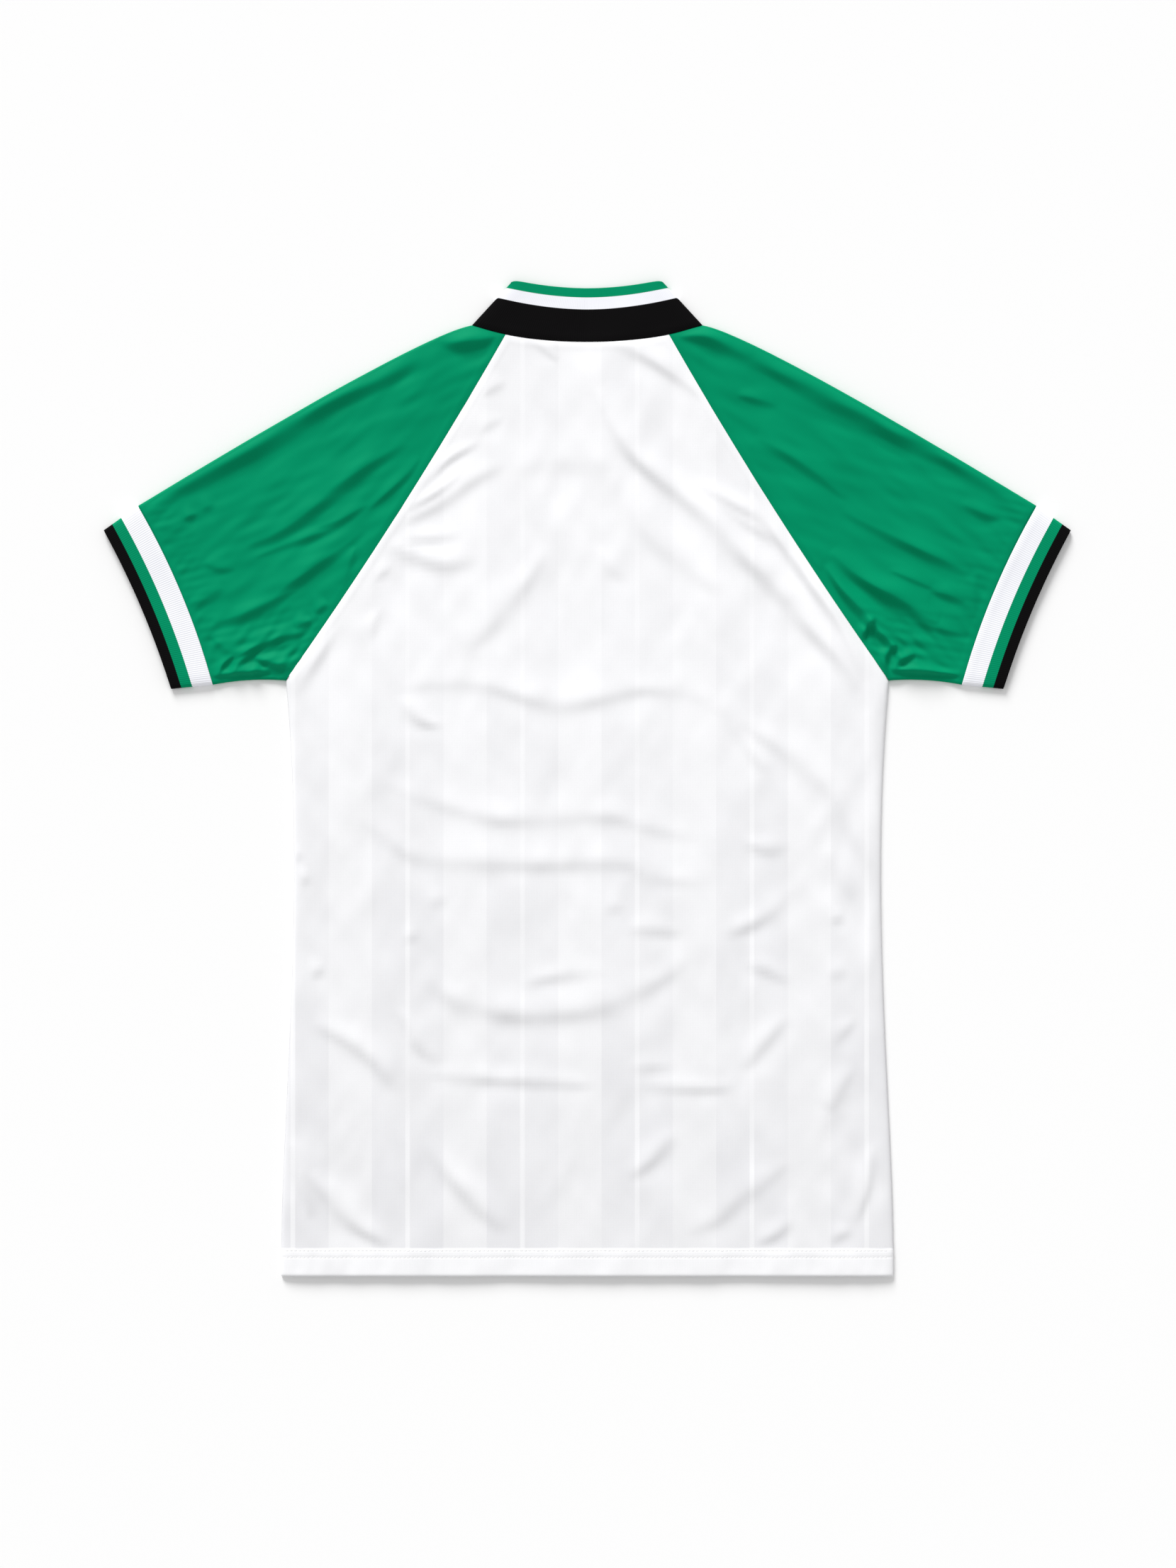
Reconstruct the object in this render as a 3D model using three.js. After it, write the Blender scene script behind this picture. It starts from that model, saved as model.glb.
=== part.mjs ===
import * as THREE from "three";

// A short-sleeved football jersey with raglan sleeves, laid flat with its back up.
// Millimetres, +Z up, +Y from the hem towards the collar, +X to the right of the back.
// Every piece that a maker cuts or knits is one closed wall of its own: the back, the
// front under it, two one-piece sleeves, the collar and two cuffs.
//
// Plan points are written as [x, rise], where rise is the distance above the hem's edge.
// They are given for the right half and mirrored for the left.

// Cloth
const CLOTH = 1.2; // wall of the jersey cloth
const RIB = 1.8; // wall of the knitted collar and cuffs
const SEAM_GAP = 0.3; // clearance between two pieces at a seam
const LAYER_GAP = 0.3; // least clearance between the upper and the lower layer

// Body
const HEM_CORNER = [241.5, 0];
const HEM_PULL = [243, 120];
const WAIST_PULL = [221, 290];
const ARMPIT = [238, 470];
const HEM_DEPTH = 21.5; // turned-up hem
const HEM_EXTRA = 0.6; // what the turned cloth adds to the wall
const HEM_EASE = 12; // distance over which the cloth on the hem sinks back
const RAGLAN_BOW = 4;

// Neckline
const NECK_SIDE = [91, 750.4]; // where the neck seam turns from the back to the front
const BACK_NECK_RISE = 737.4;
const BACK_NECK_POWER = 2.4; // how late the seam turns up to the side
const BACK_RAGLAN_TOP = 64.3;
const FRONT_NECK_RISE = 666;
const FRONT_NECK_FALL = 48; // length of the steep start of the front neckline
const FRONT_NECK_SPREAD = 34;
const FRONT_RAGLAN_SHARE = 0.42; // where on the front neckline the raglan seam ends

// Collar
const COLLAR_FOLD_END = [61.5, 782.6];
const COLLAR_TOP_RISE = 779.7; // top edge at the centre back
const COLLAR_TOP_CURVE = 6.8; // how much higher the top edge is towards its corners
const COLLAR_CORNER_DROP = 3.9; // rounding of the corners
const COLLAR_CORNER_LENGTH = 2.5;
const COLLAR_FRONT_DEPTH = 42; // width of the band at the centre front
const COLLAR_INNER_FALL = 46;
const COLLAR_INNER_SPREAD = 24;

// Sleeves and cuffs
const SHOULDER_PULL_NEAR = [124, 744.5];
const SHOULDER_PULL_FAR = [240, 677];
const CUFF_SEAM_TOP = [354.6, 607.9];
const CUFF_SEAM_LOW = [295.5, 466.7];
const CUFF_SEAM_BOW = 5;
const CUFF_EDGE_TOP = [381.6, 588.7];
const CUFF_EDGE_LOW = [328.3, 463.4];
const CUFF_EDGE_BOW = 3.4;
const UNDERARM_BOW = 2;

// How the upper layer lies on the lower one
const EDGE_LEVEL = 2.1; // middle of the upper cloth at its edges
const LOFT = 1.8; // how much higher it lies away from them
const EDGE_ROLL = 10; // distance over which it rises
const FOLD_REACH = 3; // distance over which the cloth turns under at a folded edge
const COLLAR_REST_LEVEL = 1.3; // middle of the upper cloth where nothing lies under it
const COLLAR_REST_START = 3; // distance from the front band at which it starts to sink
const COLLAR_REST_EASE = 20;

// The largest folds: soft ridges, or troughs where lift is below zero. Each line runs
// from, through and to a plan point, and width is the distance to its foot.
const FOLDS = [
  { from: [12, 678], through: [108, 581], to: [205, 466], width: 19, lift: 3.6 },
  { from: [146, 583], through: [185, 531], to: [214, 462], width: 15, lift: 2.2 },
  { from: [203, 476], through: [221, 434], to: [223, 372], width: 16, lift: 1.8 },
  { from: [-126, 466], through: [-64, 458], to: [-8, 450], width: 17, lift: 2.2 },
  { from: [-14, 450], through: [47, 463], to: [116, 436], width: 17, lift: 2.2 },
  { from: [112, 439], through: [176, 392], to: [213, 330], width: 17, lift: 2.4 },
  { from: [212, 340], through: [217, 262], to: [213, 190], width: 15, lift: 1.8 },
  { from: [-148, 382], through: [-52, 362], to: [74, 354], width: 17, lift: 2.4 },
  { from: [-172, 352], through: [-88, 324], to: [30, 326], width: 17, lift: 2.6 },
  { from: [-124, 240], through: [-82, 213], to: [-14, 214], width: 19, lift: 3.4 },
  { from: [-30, 212], through: [38, 225], to: [94, 268], width: 19, lift: 3.6 },
  { from: [-214, 198], through: [-178, 178], to: [-142, 140], width: 17, lift: 3 },
  { from: [-234, 94], through: [-207, 55], to: [-150, 27], width: 18, lift: 3.2 },
  { from: [-126, 104], through: [-96, 62], to: [-56, 32], width: 17, lift: 3 },
  { from: [74, 34], through: [120, 56], to: [166, 100], width: 17, lift: 3.2 },
  { from: [120, 160], through: [148, 190], to: [206, 186], width: 17, lift: 2 },
  { from: [-22, 576], through: [-58, 528], to: [-108, 482], width: 18, lift: 2 },
  { from: [-146, 594], through: [-102, 612], to: [-54, 650], width: 16, lift: 2.6 },
  { from: [-158, 577], through: [-116, 562], to: [-68, 574], width: 16, lift: 2.6 },
  { from: [-196, 520], through: [-211, 480], to: [-229, 436], width: 15, lift: 2.4 },
  { from: [-112, 737], through: [-223, 675], to: [-338, 611], width: 12, lift: -1.1 },
  { from: [-140, 660], through: [-212, 620], to: [-298, 580], width: 16, lift: 2.6 },
  { from: [-170, 588], through: [-222, 552], to: [-282, 516], width: 17, lift: 2.6 },
  { from: [-222, 512], through: [-252, 502], to: [-280, 488], width: 14, lift: 2.2 },
  { from: [112, 737], through: [223, 675], to: [338, 611], width: 12, lift: -1.1 },
  { from: [130, 662], through: [170, 637], to: [212, 613], width: 16, lift: 2.2 },
  { from: [198, 604], through: [248, 577], to: [302, 553], width: 16, lift: 2.4 },
  { from: [190, 574], through: [226, 543], to: [284, 514], width: 16, lift: 3 },
  { from: [190, 560], through: [222, 525], to: [262, 491], width: 14, lift: 3 },
];

// Grid steps
const LINE_STEPS = 12; // straight stretches that stand for a fold or an edge
const BODY_EDGE = 0.985; // place of the grid line next to a panel's side
const BACK_GRID = { columns: 32, rowsLow: 25, rowsHigh: 16 };
const FRONT_GRID = { columns: 26, rowsLow: 5, rowsHigh: 8 };
const TURN_STEPS = 4; // round a folded edge
const SLEEVE_HEAD_SHARE = 0.92; // part of a sleeve's head that is raglan seam
const SLEEVE_STEPS = { upper: [13, 3], lower: [8, 5], along: 13 };
const CUFF_STEPS = { upper: [7], lower: [7], along: 2 };
const COLLAR_STEPS = { upper: [20], lower: [36], along: 3 };

const plan = ([x, rise]) => new THREE.Vector2(x, rise);
const mix = THREE.MathUtils.lerp;
const mixPlan = (a, b, t) => a.clone().lerp(b, t);
const whole = (count) => Array.from({ length: count }, (_, i) => i);
const evenly = (count, from = 0, to = 1) => whole(count + 1).map((i) => mix(from, to, i / count));

/** A shallow curve between two plan points, pushed to its left at the middle. */
function bowed(from, to, bow) {
  const along = to.clone().sub(from).normalize();
  const pull = new THREE.Vector2(-along.y, along.x).multiplyScalar(2 * bow);
  return new THREE.QuadraticBezierCurve(from, mixPlan(from, to, 0.5).add(pull), to);
}

/** A curve's point, moved to its left by a distance. */
function besides(curve, t, distance) {
  const along = curve.getTangent(t);
  return curve.getPoint(t).add(new THREE.Vector2(-along.y, along.x).multiplyScalar(distance));
}

/** The place on a curve where one coordinate, which grows along it, has a given value. */
function placeOn(curve, axis, value) {
  const rising = Math.sign(curve.getPoint(1)[axis] - curve.getPoint(0)[axis]);
  let low = 0;
  let high = 1;
  for (let i = 0; i < 24; i++) {
    const middle = (low + high) / 2;
    if (rising * (curve.getPoint(middle)[axis] - value) < 0) low = middle;
    else high = middle;
  }
  return (low + high) / 2;
}

// Seams and folded edges of the right half
const sideSeam = new THREE.CubicBezierCurve(
  ...[HEM_CORNER, HEM_PULL, WAIST_PULL, ARMPIT].map(plan),
);
const shoulderFold = new THREE.CubicBezierCurve(
  ...[NECK_SIDE, SHOULDER_PULL_NEAR, SHOULDER_PULL_FAR, CUFF_SEAM_TOP].map(plan),
);
const underarmFold = bowed(plan(ARMPIT), plan(CUFF_SEAM_LOW), UNDERARM_BOW);
const cuffSeam = bowed(plan(CUFF_SEAM_LOW), plan(CUFF_SEAM_TOP), CUFF_SEAM_BOW);
const cuffEdge = bowed(plan(CUFF_EDGE_LOW), plan(CUFF_EDGE_TOP), CUFF_EDGE_BOW);
const cuffFoldLow = new THREE.LineCurve(plan(CUFF_SEAM_LOW), plan(CUFF_EDGE_LOW));
const cuffFoldTop = new THREE.LineCurve(plan(CUFF_SEAM_TOP), plan(CUFF_EDGE_TOP));
const collarFold = new THREE.LineCurve(plan(NECK_SIDE), plan(COLLAR_FOLD_END));

/** A point of the back neck seam, moved up by a distance. */
function backNeck(x, distance) {
  const share = Math.abs(x) / NECK_SIDE[0];
  const climb = (NECK_SIDE[1] - BACK_NECK_RISE) * share ** BACK_NECK_POWER;
  return new THREE.Vector2(x, BACK_NECK_RISE + climb + distance);
}

// The front neckline starts as the back one's image in the collar's fold
const foldAngle = collarFold.getTangent(0).angle();
const backNeckSlope = (BACK_NECK_POWER * (NECK_SIDE[1] - BACK_NECK_RISE)) / NECK_SIDE[0];
const frontNeckAngle = 2 * foldAngle - Math.atan(backNeckSlope);
const frontNeckStart = new THREE.Vector2(Math.cos(frontNeckAngle), Math.sin(frontNeckAngle));

/** A line from the collar's fold round to the centre front. */
function frontNeckLine(side, fall, spread, centreRise) {
  const steep = plan(side).addScaledVector(frontNeckStart, fall);
  return new THREE.CubicBezierCurve(plan(side), steep, plan([spread, centreRise]), plan([0, centreRise]));
}
const frontNeck = frontNeckLine(NECK_SIDE, FRONT_NECK_FALL, FRONT_NECK_SPREAD, FRONT_NECK_RISE);
const collarInner = frontNeckLine(
  COLLAR_FOLD_END,
  COLLAR_INNER_FALL,
  COLLAR_INNER_SPREAD,
  FRONT_NECK_RISE + COLLAR_FRONT_DEPTH,
);
const backRaglan = bowed(plan(ARMPIT), backNeck(BACK_RAGLAN_TOP, 0), RAGLAN_BOW);
const frontRaglan = bowed(plan(ARMPIT), frontNeck.getPoint(FRONT_RAGLAN_SHARE), RAGLAN_BOW);

/** The place of a line of points that is nearest to a point. */
function nearestOn(line, point) {
  let best = { distance: Infinity };
  for (let i = 0; i + 1 < line.length; i++) {
    const along = line[i + 1].clone().sub(line[i]);
    const t = THREE.MathUtils.clamp(point.clone().sub(line[i]).dot(along) / along.lengthSq(), 0, 1);
    const place = mixPlan(line[i], line[i + 1], t);
    const distance = point.distanceTo(place);
    if (distance < best.distance) best = { distance, place, share: (i + t) / (line.length - 1) };
  }
  return best;
}

const closedEdges = [sideSeam, underarmFold, cuffFoldLow, shoulderFold, cuffFoldTop, collarFold].map(
  (curve) => curve.getPoints(LINE_STEPS),
);
const collarInnerLine = collarInner.getPoints(LINE_STEPS);
const foldLines = FOLDS.map(({ from, through, to, width, lift }) => {
  const pull = plan(through).multiplyScalar(2).sub(mixPlan(plan(from), plan(to), 0.5));
  const line = new THREE.QuadraticBezierCurve(plan(from), pull, plan(to)).getPoints(LINE_STEPS);
  return { line, width, lift };
});

/** Height that the folds add at a plan point: round across each fold, fading out at its ends. */
function foldLift(point) {
  let total = 0;
  for (const { line, width, lift } of foldLines) {
    const { distance, share } = nearestOn(line, point);
    if (distance < width)
      total += lift * Math.sin(Math.PI * share) ** 0.5 * Math.cos((Math.PI * distance) / (2 * width)) ** 2;
  }
  return total;
}

/** Top of what lies under the upper layer: the front, its turned hem or the collar's band. */
function lowerTop(point, wall) {
  const hem = HEM_EXTRA * (1 - THREE.MathUtils.smoothstep(point.y, HEM_DEPTH, HEM_DEPTH + HEM_EASE));
  const beyondBand = THREE.MathUtils.smoothstep(point.y, FRONT_NECK_RISE - HEM_EASE, FRONT_NECK_RISE);
  const besideBand = THREE.MathUtils.smoothstep(Math.abs(point.x), NECK_SIDE[0], NECK_SIDE[0] + HEM_EASE);
  return Math.max(wall, CLOTH + hem, mix(CLOTH, RIB, beyondBand * (1 - besideBand)));
}

/** Middle height of the upper layer at a plan point. */
function upperLevel(point, wall) {
  const half = new THREE.Vector2(Math.abs(point.x), point.y);
  const inward = Math.min(...closedEdges.map((line) => nearestOn(line, half).distance));
  const rolled = 1 - Math.min(1, inward / EDGE_ROLL);
  const rise = Math.sqrt(1 - rolled ** 2);
  const resting = lowerTop(point, wall) + LAYER_GAP + wall / 2;
  const level = Math.max(resting, EDGE_LEVEL + (LOFT + foldLift(point)) * rise);
  const { distance, place } = nearestOn(collarInnerLine, half);
  const insideBand = half.x < place.x && point.y > place.y;
  const free = THREE.MathUtils.smoothstep(distance, COLLAR_REST_START, COLLAR_REST_START + COLLAR_REST_EASE);
  return insideBand ? mix(level, COLLAR_REST_LEVEL, free) : level;
}

const at = (point, z) => new THREE.Vector3(point.x, point.y, z);

/** Two triangles for each cell of a grid whose points are found by index(row, column). */
function cells(rows, columns, index) {
  const corners = [];
  for (let r = 0; r < rows; r++)
    for (let c = 0; c < columns; c++) {
      const [a, b, d, e] = [index(r, c), index(r, c + 1), index(r + 1, c), index(r + 1, c + 1)];
      corners.push(a, b, e, a, e, d);
    }
  return corners;
}

function solid(name, points, corners, material) {
  const geometry = new THREE.BufferGeometry().setFromPoints(points);
  geometry.setIndex(corners);
  geometry.computeVertexNormals();
  const mesh = new THREE.Mesh(geometry, material);
  mesh.name = name;
  return mesh;
}

/** A body panel: an upper and a lower face over a grid of plan points, closed by a rim. */
function panel(name, grid, heights, material) {
  const rows = grid.length;
  const columns = grid[0].length;
  const points = grid.flat();
  const faces = points.map(heights);
  const below = points.length;
  const [last, top] = [columns - 1, rows - 1];
  const rim = [
    ...whole(last).map((c) => c),
    ...whole(top).map((r) => r * columns + last),
    ...whole(last).map((c) => top * columns + last - c),
    ...whole(top).map((r) => (top - r) * columns),
  ];
  return solid(
    name,
    [...points.map((point, i) => at(point, faces[i].over)), ...points.map((point, i) => at(point, faces[i].under))],
    [
      ...cells(rows - 1, columns - 1, (r, c) => r * columns + c),
      ...cells(rows - 1, columns - 1, (r, c) => below + (rows - 1 - r) * columns + c),
      ...cells(1, rim.length, (r, c) => rim[c % rim.length] + (1 - r) * below),
    ],
    material,
  );
}

/** Plan grid of a panel: rows up the side seam to the armpit, then up the raglan to the neck. */
function bodyGrid({ columns, rowsLow, rowsHigh }, raglan, neckRise) {
  const across = [...evenly(columns, -1, 1), -BODY_EDGE, BODY_EDGE].sort((a, b) => a - b);
  const hem = HEM_DEPTH + CLOTH;
  const lowRises = [0, HEM_DEPTH, ...evenly(rowsLow, hem, ARMPIT[1])];
  const low = lowRises.map((rise) => {
    const edge = sideSeam.getPoint(placeOn(sideSeam, "y", rise));
    return across.map((u) => new THREE.Vector2(u * edge.x, rise));
  });
  const top = besides(raglan, 1, SEAM_GAP / 2);
  const high = evenly(rowsHigh - 1, 1 / rowsHigh, 1).map((share) => {
    const edge = besides(raglan, share, SEAM_GAP / 2);
    return across.map((u) => {
      const sag = top.y - neckRise(u * top.x) + SEAM_GAP / 2;
      return new THREE.Vector2(u * edge.x, edge.y - share ** 3 * sag);
    });
  });
  return [...low, ...high];
}

const hemExtra = (point) => (point.y <= HEM_DEPTH ? HEM_EXTRA : 0);

function backPanel(material) {
  const grid = bodyGrid(BACK_GRID, backRaglan, (x) => backNeck(x, 0).y);
  const heights = (point) => {
    const level = upperLevel(point, CLOTH);
    return { under: level - CLOTH / 2, over: level + CLOTH / 2 + hemExtra(point) };
  };
  return panel("back_panel", grid, heights, material);
}

function frontPanel(material) {
  const top = frontNeck.getPoint(FRONT_RAGLAN_SHARE);
  const neckRise = (x) => {
    const inner = Math.min(Math.abs(x), top.x);
    return frontNeck.getPoint(placeOn(frontNeck, "x", inner)).y;
  };
  const grid = bodyGrid(FRONT_GRID, frontRaglan, neckRise);
  return panel("front_panel", grid, (point) => ({ under: 0, over: CLOTH + hemExtra(point) }), material);
}

/**
 * A flattened tube of cloth, as a ring of sections that run from its start to its end.
 * Each layer has a start and an end edge from the low fold to the top one.
 */
function foldedTube({ name, upper, lower, foldLow, foldTop, steps, wall, side = 1, facing = side, material }) {
  const folds = [foldLow, foldTop].map((fold) => {
    const trim = SEAM_GAP / fold.getLength();
    return (s) => fold.getPoint(mix(trim, 1 - trim, s));
  });
  const foldChains = folds.map((fold) => evenly(LINE_STEPS).map(fold));

  /** An edge that stops one fold reach before each fold. */
  const inset = (edge) => {
    const ends = foldChains.map((chain, i) => {
      let near = i;
      let far = 0.5;
      for (let k = 0; k < 24; k++) {
        const middle = (near + far) / 2;
        if (nearestOn(chain, edge(middle)).distance < FOLD_REACH) near = middle;
        else far = middle;
      }
      return (near + far) / 2;
    });
    return (t) => edge(THREE.MathUtils.clamp(t, ...ends));
  };

  /** Plan surface of a layer, drawn in at both sides to follow the folds. */
  const surface = ({ start, end }) => {
    const [from, to] = [inset(start), inset(end)];
    const straight = (t, s) => mixPlan(from(t), to(t), s);
    const drawnIn = (i, s) => {
      const slip = mixPlan(from(i).sub(folds[i](0)), to(i).sub(folds[i](1)), s);
      return folds[i](s).add(slip).sub(straight(i, s));
    };
    return (t, s) =>
      straight(t, s)
        .addScaledVector(drawnIn(0, s), 1 - t)
        .addScaledVector(drawnIn(1, s), t);
  };
  const [over, under] = [surface(upper), surface(lower)];
  const along = evenly(steps.along);
  const mirrored = (point) => new THREE.Vector2(side * point.x, point.y);
  const level = (point) => upperLevel(mirrored(point), wall);
  const section = (outer, inner) => {
    const loop = [...along.map(outer), ...along.map(inner).reverse()];
    return facing > 0 ? loop : loop.reverse();
  };

  const overSection = (t) => {
    const put = (s, shift) => {
      const point = over(t, s);
      return at(mirrored(point), level(point) + shift);
    };
    return section((s) => put(s, wall / 2), (s) => put(s, -wall / 2));
  };
  const underSection = (t) => {
    const put = (s, z) => at(mirrored(under(t, s)), z);
    return section((s) => put(s, 0), (s) => put(s, wall));
  };
  const turnSection = (i, angle) => {
    const put = (s, inward) => {
      const top = over(i, s);
      const base = mixPlan(top, under(i, s), (1 - Math.cos(angle)) / 2);
      const reach = (1 - inward / FOLD_REACH) * Math.sin(angle);
      const high = level(top) + wall / 2 - inward;
      const z = (high + inward) / 2 + ((high - inward) / 2) * Math.cos(angle);
      return at(mirrored(mixPlan(base, folds[i](s), reach)), z);
    };
    return section((s) => put(s, 0), (s) => put(s, wall));
  };

  const turnAngles = evenly(TURN_STEPS, 0, Math.PI).slice(1, -1);
  const sections = [
    ...stations(steps.upper).map(overSection),
    ...turnAngles.map((angle) => turnSection(1, angle)),
    ...stations(steps.lower).reverse().map(underSection),
    ...turnAngles.reverse().map((angle) => turnSection(0, angle)),
  ];
  const count = sections.length;
  const size = sections[0].length;
  const corners = cells(count, size, (r, c) => (r % count) * size + (c % size));
  return solid(name, sections.flat(), corners, material);
}

/** Places round a layer. With two counts, the second starts where a sleeve's head meets the neck. */
function stations([first, second]) {
  if (second === undefined) return evenly(first);
  return [...evenly(first, 0, SLEEVE_HEAD_SHARE), ...evenly(second, SLEEVE_HEAD_SHARE, 1).slice(1)];
}

/** A sleeve's edge at the body: up the raglan seam, then along the neck seam. */
function sleeveHead(raglan, neck) {
  return (t) =>
    t <= SLEEVE_HEAD_SHARE
      ? besides(raglan, t / SLEEVE_HEAD_SHARE, -SEAM_GAP / 2)
      : neck((t - SLEEVE_HEAD_SHARE) / (1 - SLEEVE_HEAD_SHARE));
}

function sleeve(name, side, material) {
  const backPart = (t) => backNeck(mix(BACK_RAGLAN_TOP, NECK_SIDE[0], t), -SEAM_GAP / 2);
  const frontPart = (t) => besides(frontNeck, FRONT_RAGLAN_SHARE * (1 - t), SEAM_GAP / 2);
  const end = (t) => besides(cuffSeam, t, SEAM_GAP / 2);
  return foldedTube({
    name,
    upper: { start: sleeveHead(backRaglan, backPart), end },
    lower: { start: sleeveHead(frontRaglan, frontPart), end },
    foldLow: underarmFold,
    foldTop: shoulderFold,
    steps: SLEEVE_STEPS,
    wall: CLOTH,
    side,
    material,
  });
}

function cuff(name, side, material) {
  const layer = { start: (t) => besides(cuffSeam, t, -SEAM_GAP / 2), end: (t) => cuffEdge.getPoint(t) };
  return foldedTube({
    name,
    upper: layer,
    lower: layer,
    foldLow: cuffFoldLow,
    foldTop: cuffFoldTop,
    steps: CUFF_STEPS,
    wall: RIB,
    side,
    material,
  });
}

function collar(material) {
  const topEdge = (t) => {
    const x = mix(-COLLAR_FOLD_END[0], COLLAR_FOLD_END[0], t);
    const toCorner = COLLAR_FOLD_END[0] - Math.abs(x);
    const curve = COLLAR_TOP_CURVE * (x / COLLAR_FOLD_END[0]) ** 2;
    const drop = COLLAR_CORNER_DROP * Math.exp(-toCorner / COLLAR_CORNER_LENGTH);
    return new THREE.Vector2(x, COLLAR_TOP_RISE + curve - drop);
  };
  const bothSides = (line) => (t) => {
    const point = line(1 - Math.abs(2 * t - 1));
    return t < 0.5 ? point.multiply(new THREE.Vector2(-1, 1)) : point;
  };
  const mirrorFold = new THREE.LineCurve(
    collarFold.getPoint(0).multiply(new THREE.Vector2(-1, 1)),
    collarFold.getPoint(1).multiply(new THREE.Vector2(-1, 1)),
  );
  return foldedTube({
    name: "collar",
    upper: { start: (t) => backNeck(mix(-NECK_SIDE[0], NECK_SIDE[0], t), SEAM_GAP / 2), end: topEdge },
    lower: {
      start: bothSides((t) => besides(frontNeck, t, -SEAM_GAP / 2)),
      end: bothSides((t) => collarInner.getPoint(t)),
    },
    foldLow: mirrorFold,
    foldTop: collarFold,
    steps: COLLAR_STEPS,
    wall: RIB,
    facing: -1,
    material,
  });
}

const fabric = (color, roughness) => new THREE.MeshStandardMaterial({ color, roughness, metalness: 0 });
const whiteCloth = fabric(0xf4f4f6, 0.6);
const greenCloth = fabric(0x048a61, 0.65);
const blackRib = fabric(0x0f0e10, 0.85);
const whiteRib = fabric(0xf2f3f8, 0.85);

const jersey = new THREE.Group();
jersey.add(
  frontPanel(whiteCloth),
  backPanel(whiteCloth),
  sleeve("sleeve_left", -1, greenCloth),
  sleeve("sleeve_right", 1, greenCloth),
  cuff("cuff_left", -1, whiteRib),
  cuff("cuff_right", 1, whiteRib),
  collar(blackRib),
);

// The origin lies under the middle of the whole garment
jersey.position.y = -new THREE.Box3().setFromObject(jersey).getCenter(new THREE.Vector3()).y;

export default jersey;
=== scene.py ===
"""A short-sleeved football jersey, laid flat with its back up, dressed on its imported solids."""
import math
from functools import partial

import bmesh
import bpy
import numpy as np
from mathutils import Matrix, Vector


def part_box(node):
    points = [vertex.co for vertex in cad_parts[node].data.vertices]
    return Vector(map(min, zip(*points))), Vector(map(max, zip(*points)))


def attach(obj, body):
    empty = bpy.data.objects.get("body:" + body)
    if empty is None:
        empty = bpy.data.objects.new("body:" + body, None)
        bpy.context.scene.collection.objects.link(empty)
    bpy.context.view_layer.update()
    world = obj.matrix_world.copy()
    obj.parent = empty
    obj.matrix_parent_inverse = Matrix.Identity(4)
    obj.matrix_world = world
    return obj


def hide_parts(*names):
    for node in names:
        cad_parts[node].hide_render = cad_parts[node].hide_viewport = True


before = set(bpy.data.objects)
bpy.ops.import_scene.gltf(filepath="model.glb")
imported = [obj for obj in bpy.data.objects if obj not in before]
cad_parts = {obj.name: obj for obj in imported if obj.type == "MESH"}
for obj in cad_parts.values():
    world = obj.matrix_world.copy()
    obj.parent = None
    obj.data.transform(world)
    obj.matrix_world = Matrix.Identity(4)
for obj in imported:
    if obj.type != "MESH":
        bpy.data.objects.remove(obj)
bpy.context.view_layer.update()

bl_info = {
    "name": "Football Jersey",
    "version": (1, 0, 0),
    "blender": (4, 5, 0),
    "location": "View3D > Sidebar > Jersey",
    "description": "Builds a raglan football jersey that lies flat with its back up",
    "category": "Add Mesh",
}

# Plan points are [x, rise] in millimetres, where rise is the distance above the hem's edge
MM = 0.001
HEM_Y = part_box("front_panel")[0].y
BODY = "root"

# Outline of the right half
HEM_CORNER = (241.5, 0)
HEM_PULL = (243, 120)
WAIST_PULL = (221, 290)
ARMPIT = (238, 470)
HEM_DEPTH = 21.5
HEM_STEP = 0.6
HEM_EASE = 12
RAGLAN_BOW = 4
NECK_SIDE = (91, 750.4)
BACK_NECK_RISE = 737.4
BACK_NECK_POWER = 2.4
BACK_RAGLAN_TOP = 64.3
FRONT_NECK_RISE = 666
FRONT_NECK_FALL = 48
FRONT_NECK_SPREAD = 34
FRONT_RAGLAN_SHARE = 0.42
COLLAR_FOLD_END = (61.5, 782.6)
COLLAR_TOP_RISE = 779.7
COLLAR_TOP_CURVE = 6.8
COLLAR_CORNER_DROP = 3.9
COLLAR_CORNER_LENGTH = 2.5
COLLAR_FRONT_DEPTH = 42
COLLAR_INNER_FALL = 46
COLLAR_INNER_SPREAD = 24
SHOULDER_PULL_NEAR = (124, 744.5)
SHOULDER_PULL_FAR = (240, 677)
CUFF_SEAM_TOP = (354.6, 607.9)
CUFF_SEAM_LOW = (295.5, 466.7)
CUFF_SEAM_BOW = 5
CUFF_EDGE_TOP = (381.6, 588.7)
CUFF_EDGE_LOW = (328.3, 463.4)
CUFF_EDGE_BOW = 3.4
UNDERARM_BOW = 2

# How the layers lie: heights and reaches in millimetres
SOLID_CLOTH = 1.2
SOLID_RIB = 1.8
LAYER_GAP = 0.3
EDGE_LEVEL = 2.1
LOFT = 1.8
EDGE_ROLL = 10
FOLD_REACH = 3
REST_LEVEL = 1.3
REST_START = 3
REST_EASE = 56
REST_FOLDS = (-0.3, 2)
REST_FOLD_SHARE = 0.6
CONTACT_SHARPNESS = 4
SEAM_DIP = 0.3  # how far the cloth turns down into a seam
SEAM_HALF = 1.4
SEAM_RIDGE = 0.15  # the seam's turnings under the cloth
SEAM_RIDGE_AT = 4.5
SEAM_HOLD = 0.8  # share of the creases that a seam holds flat
SEAM_HOLD_REACH = 4.5
SIDE_ROLL = 3.5
LINE_STEPS = 24

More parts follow.
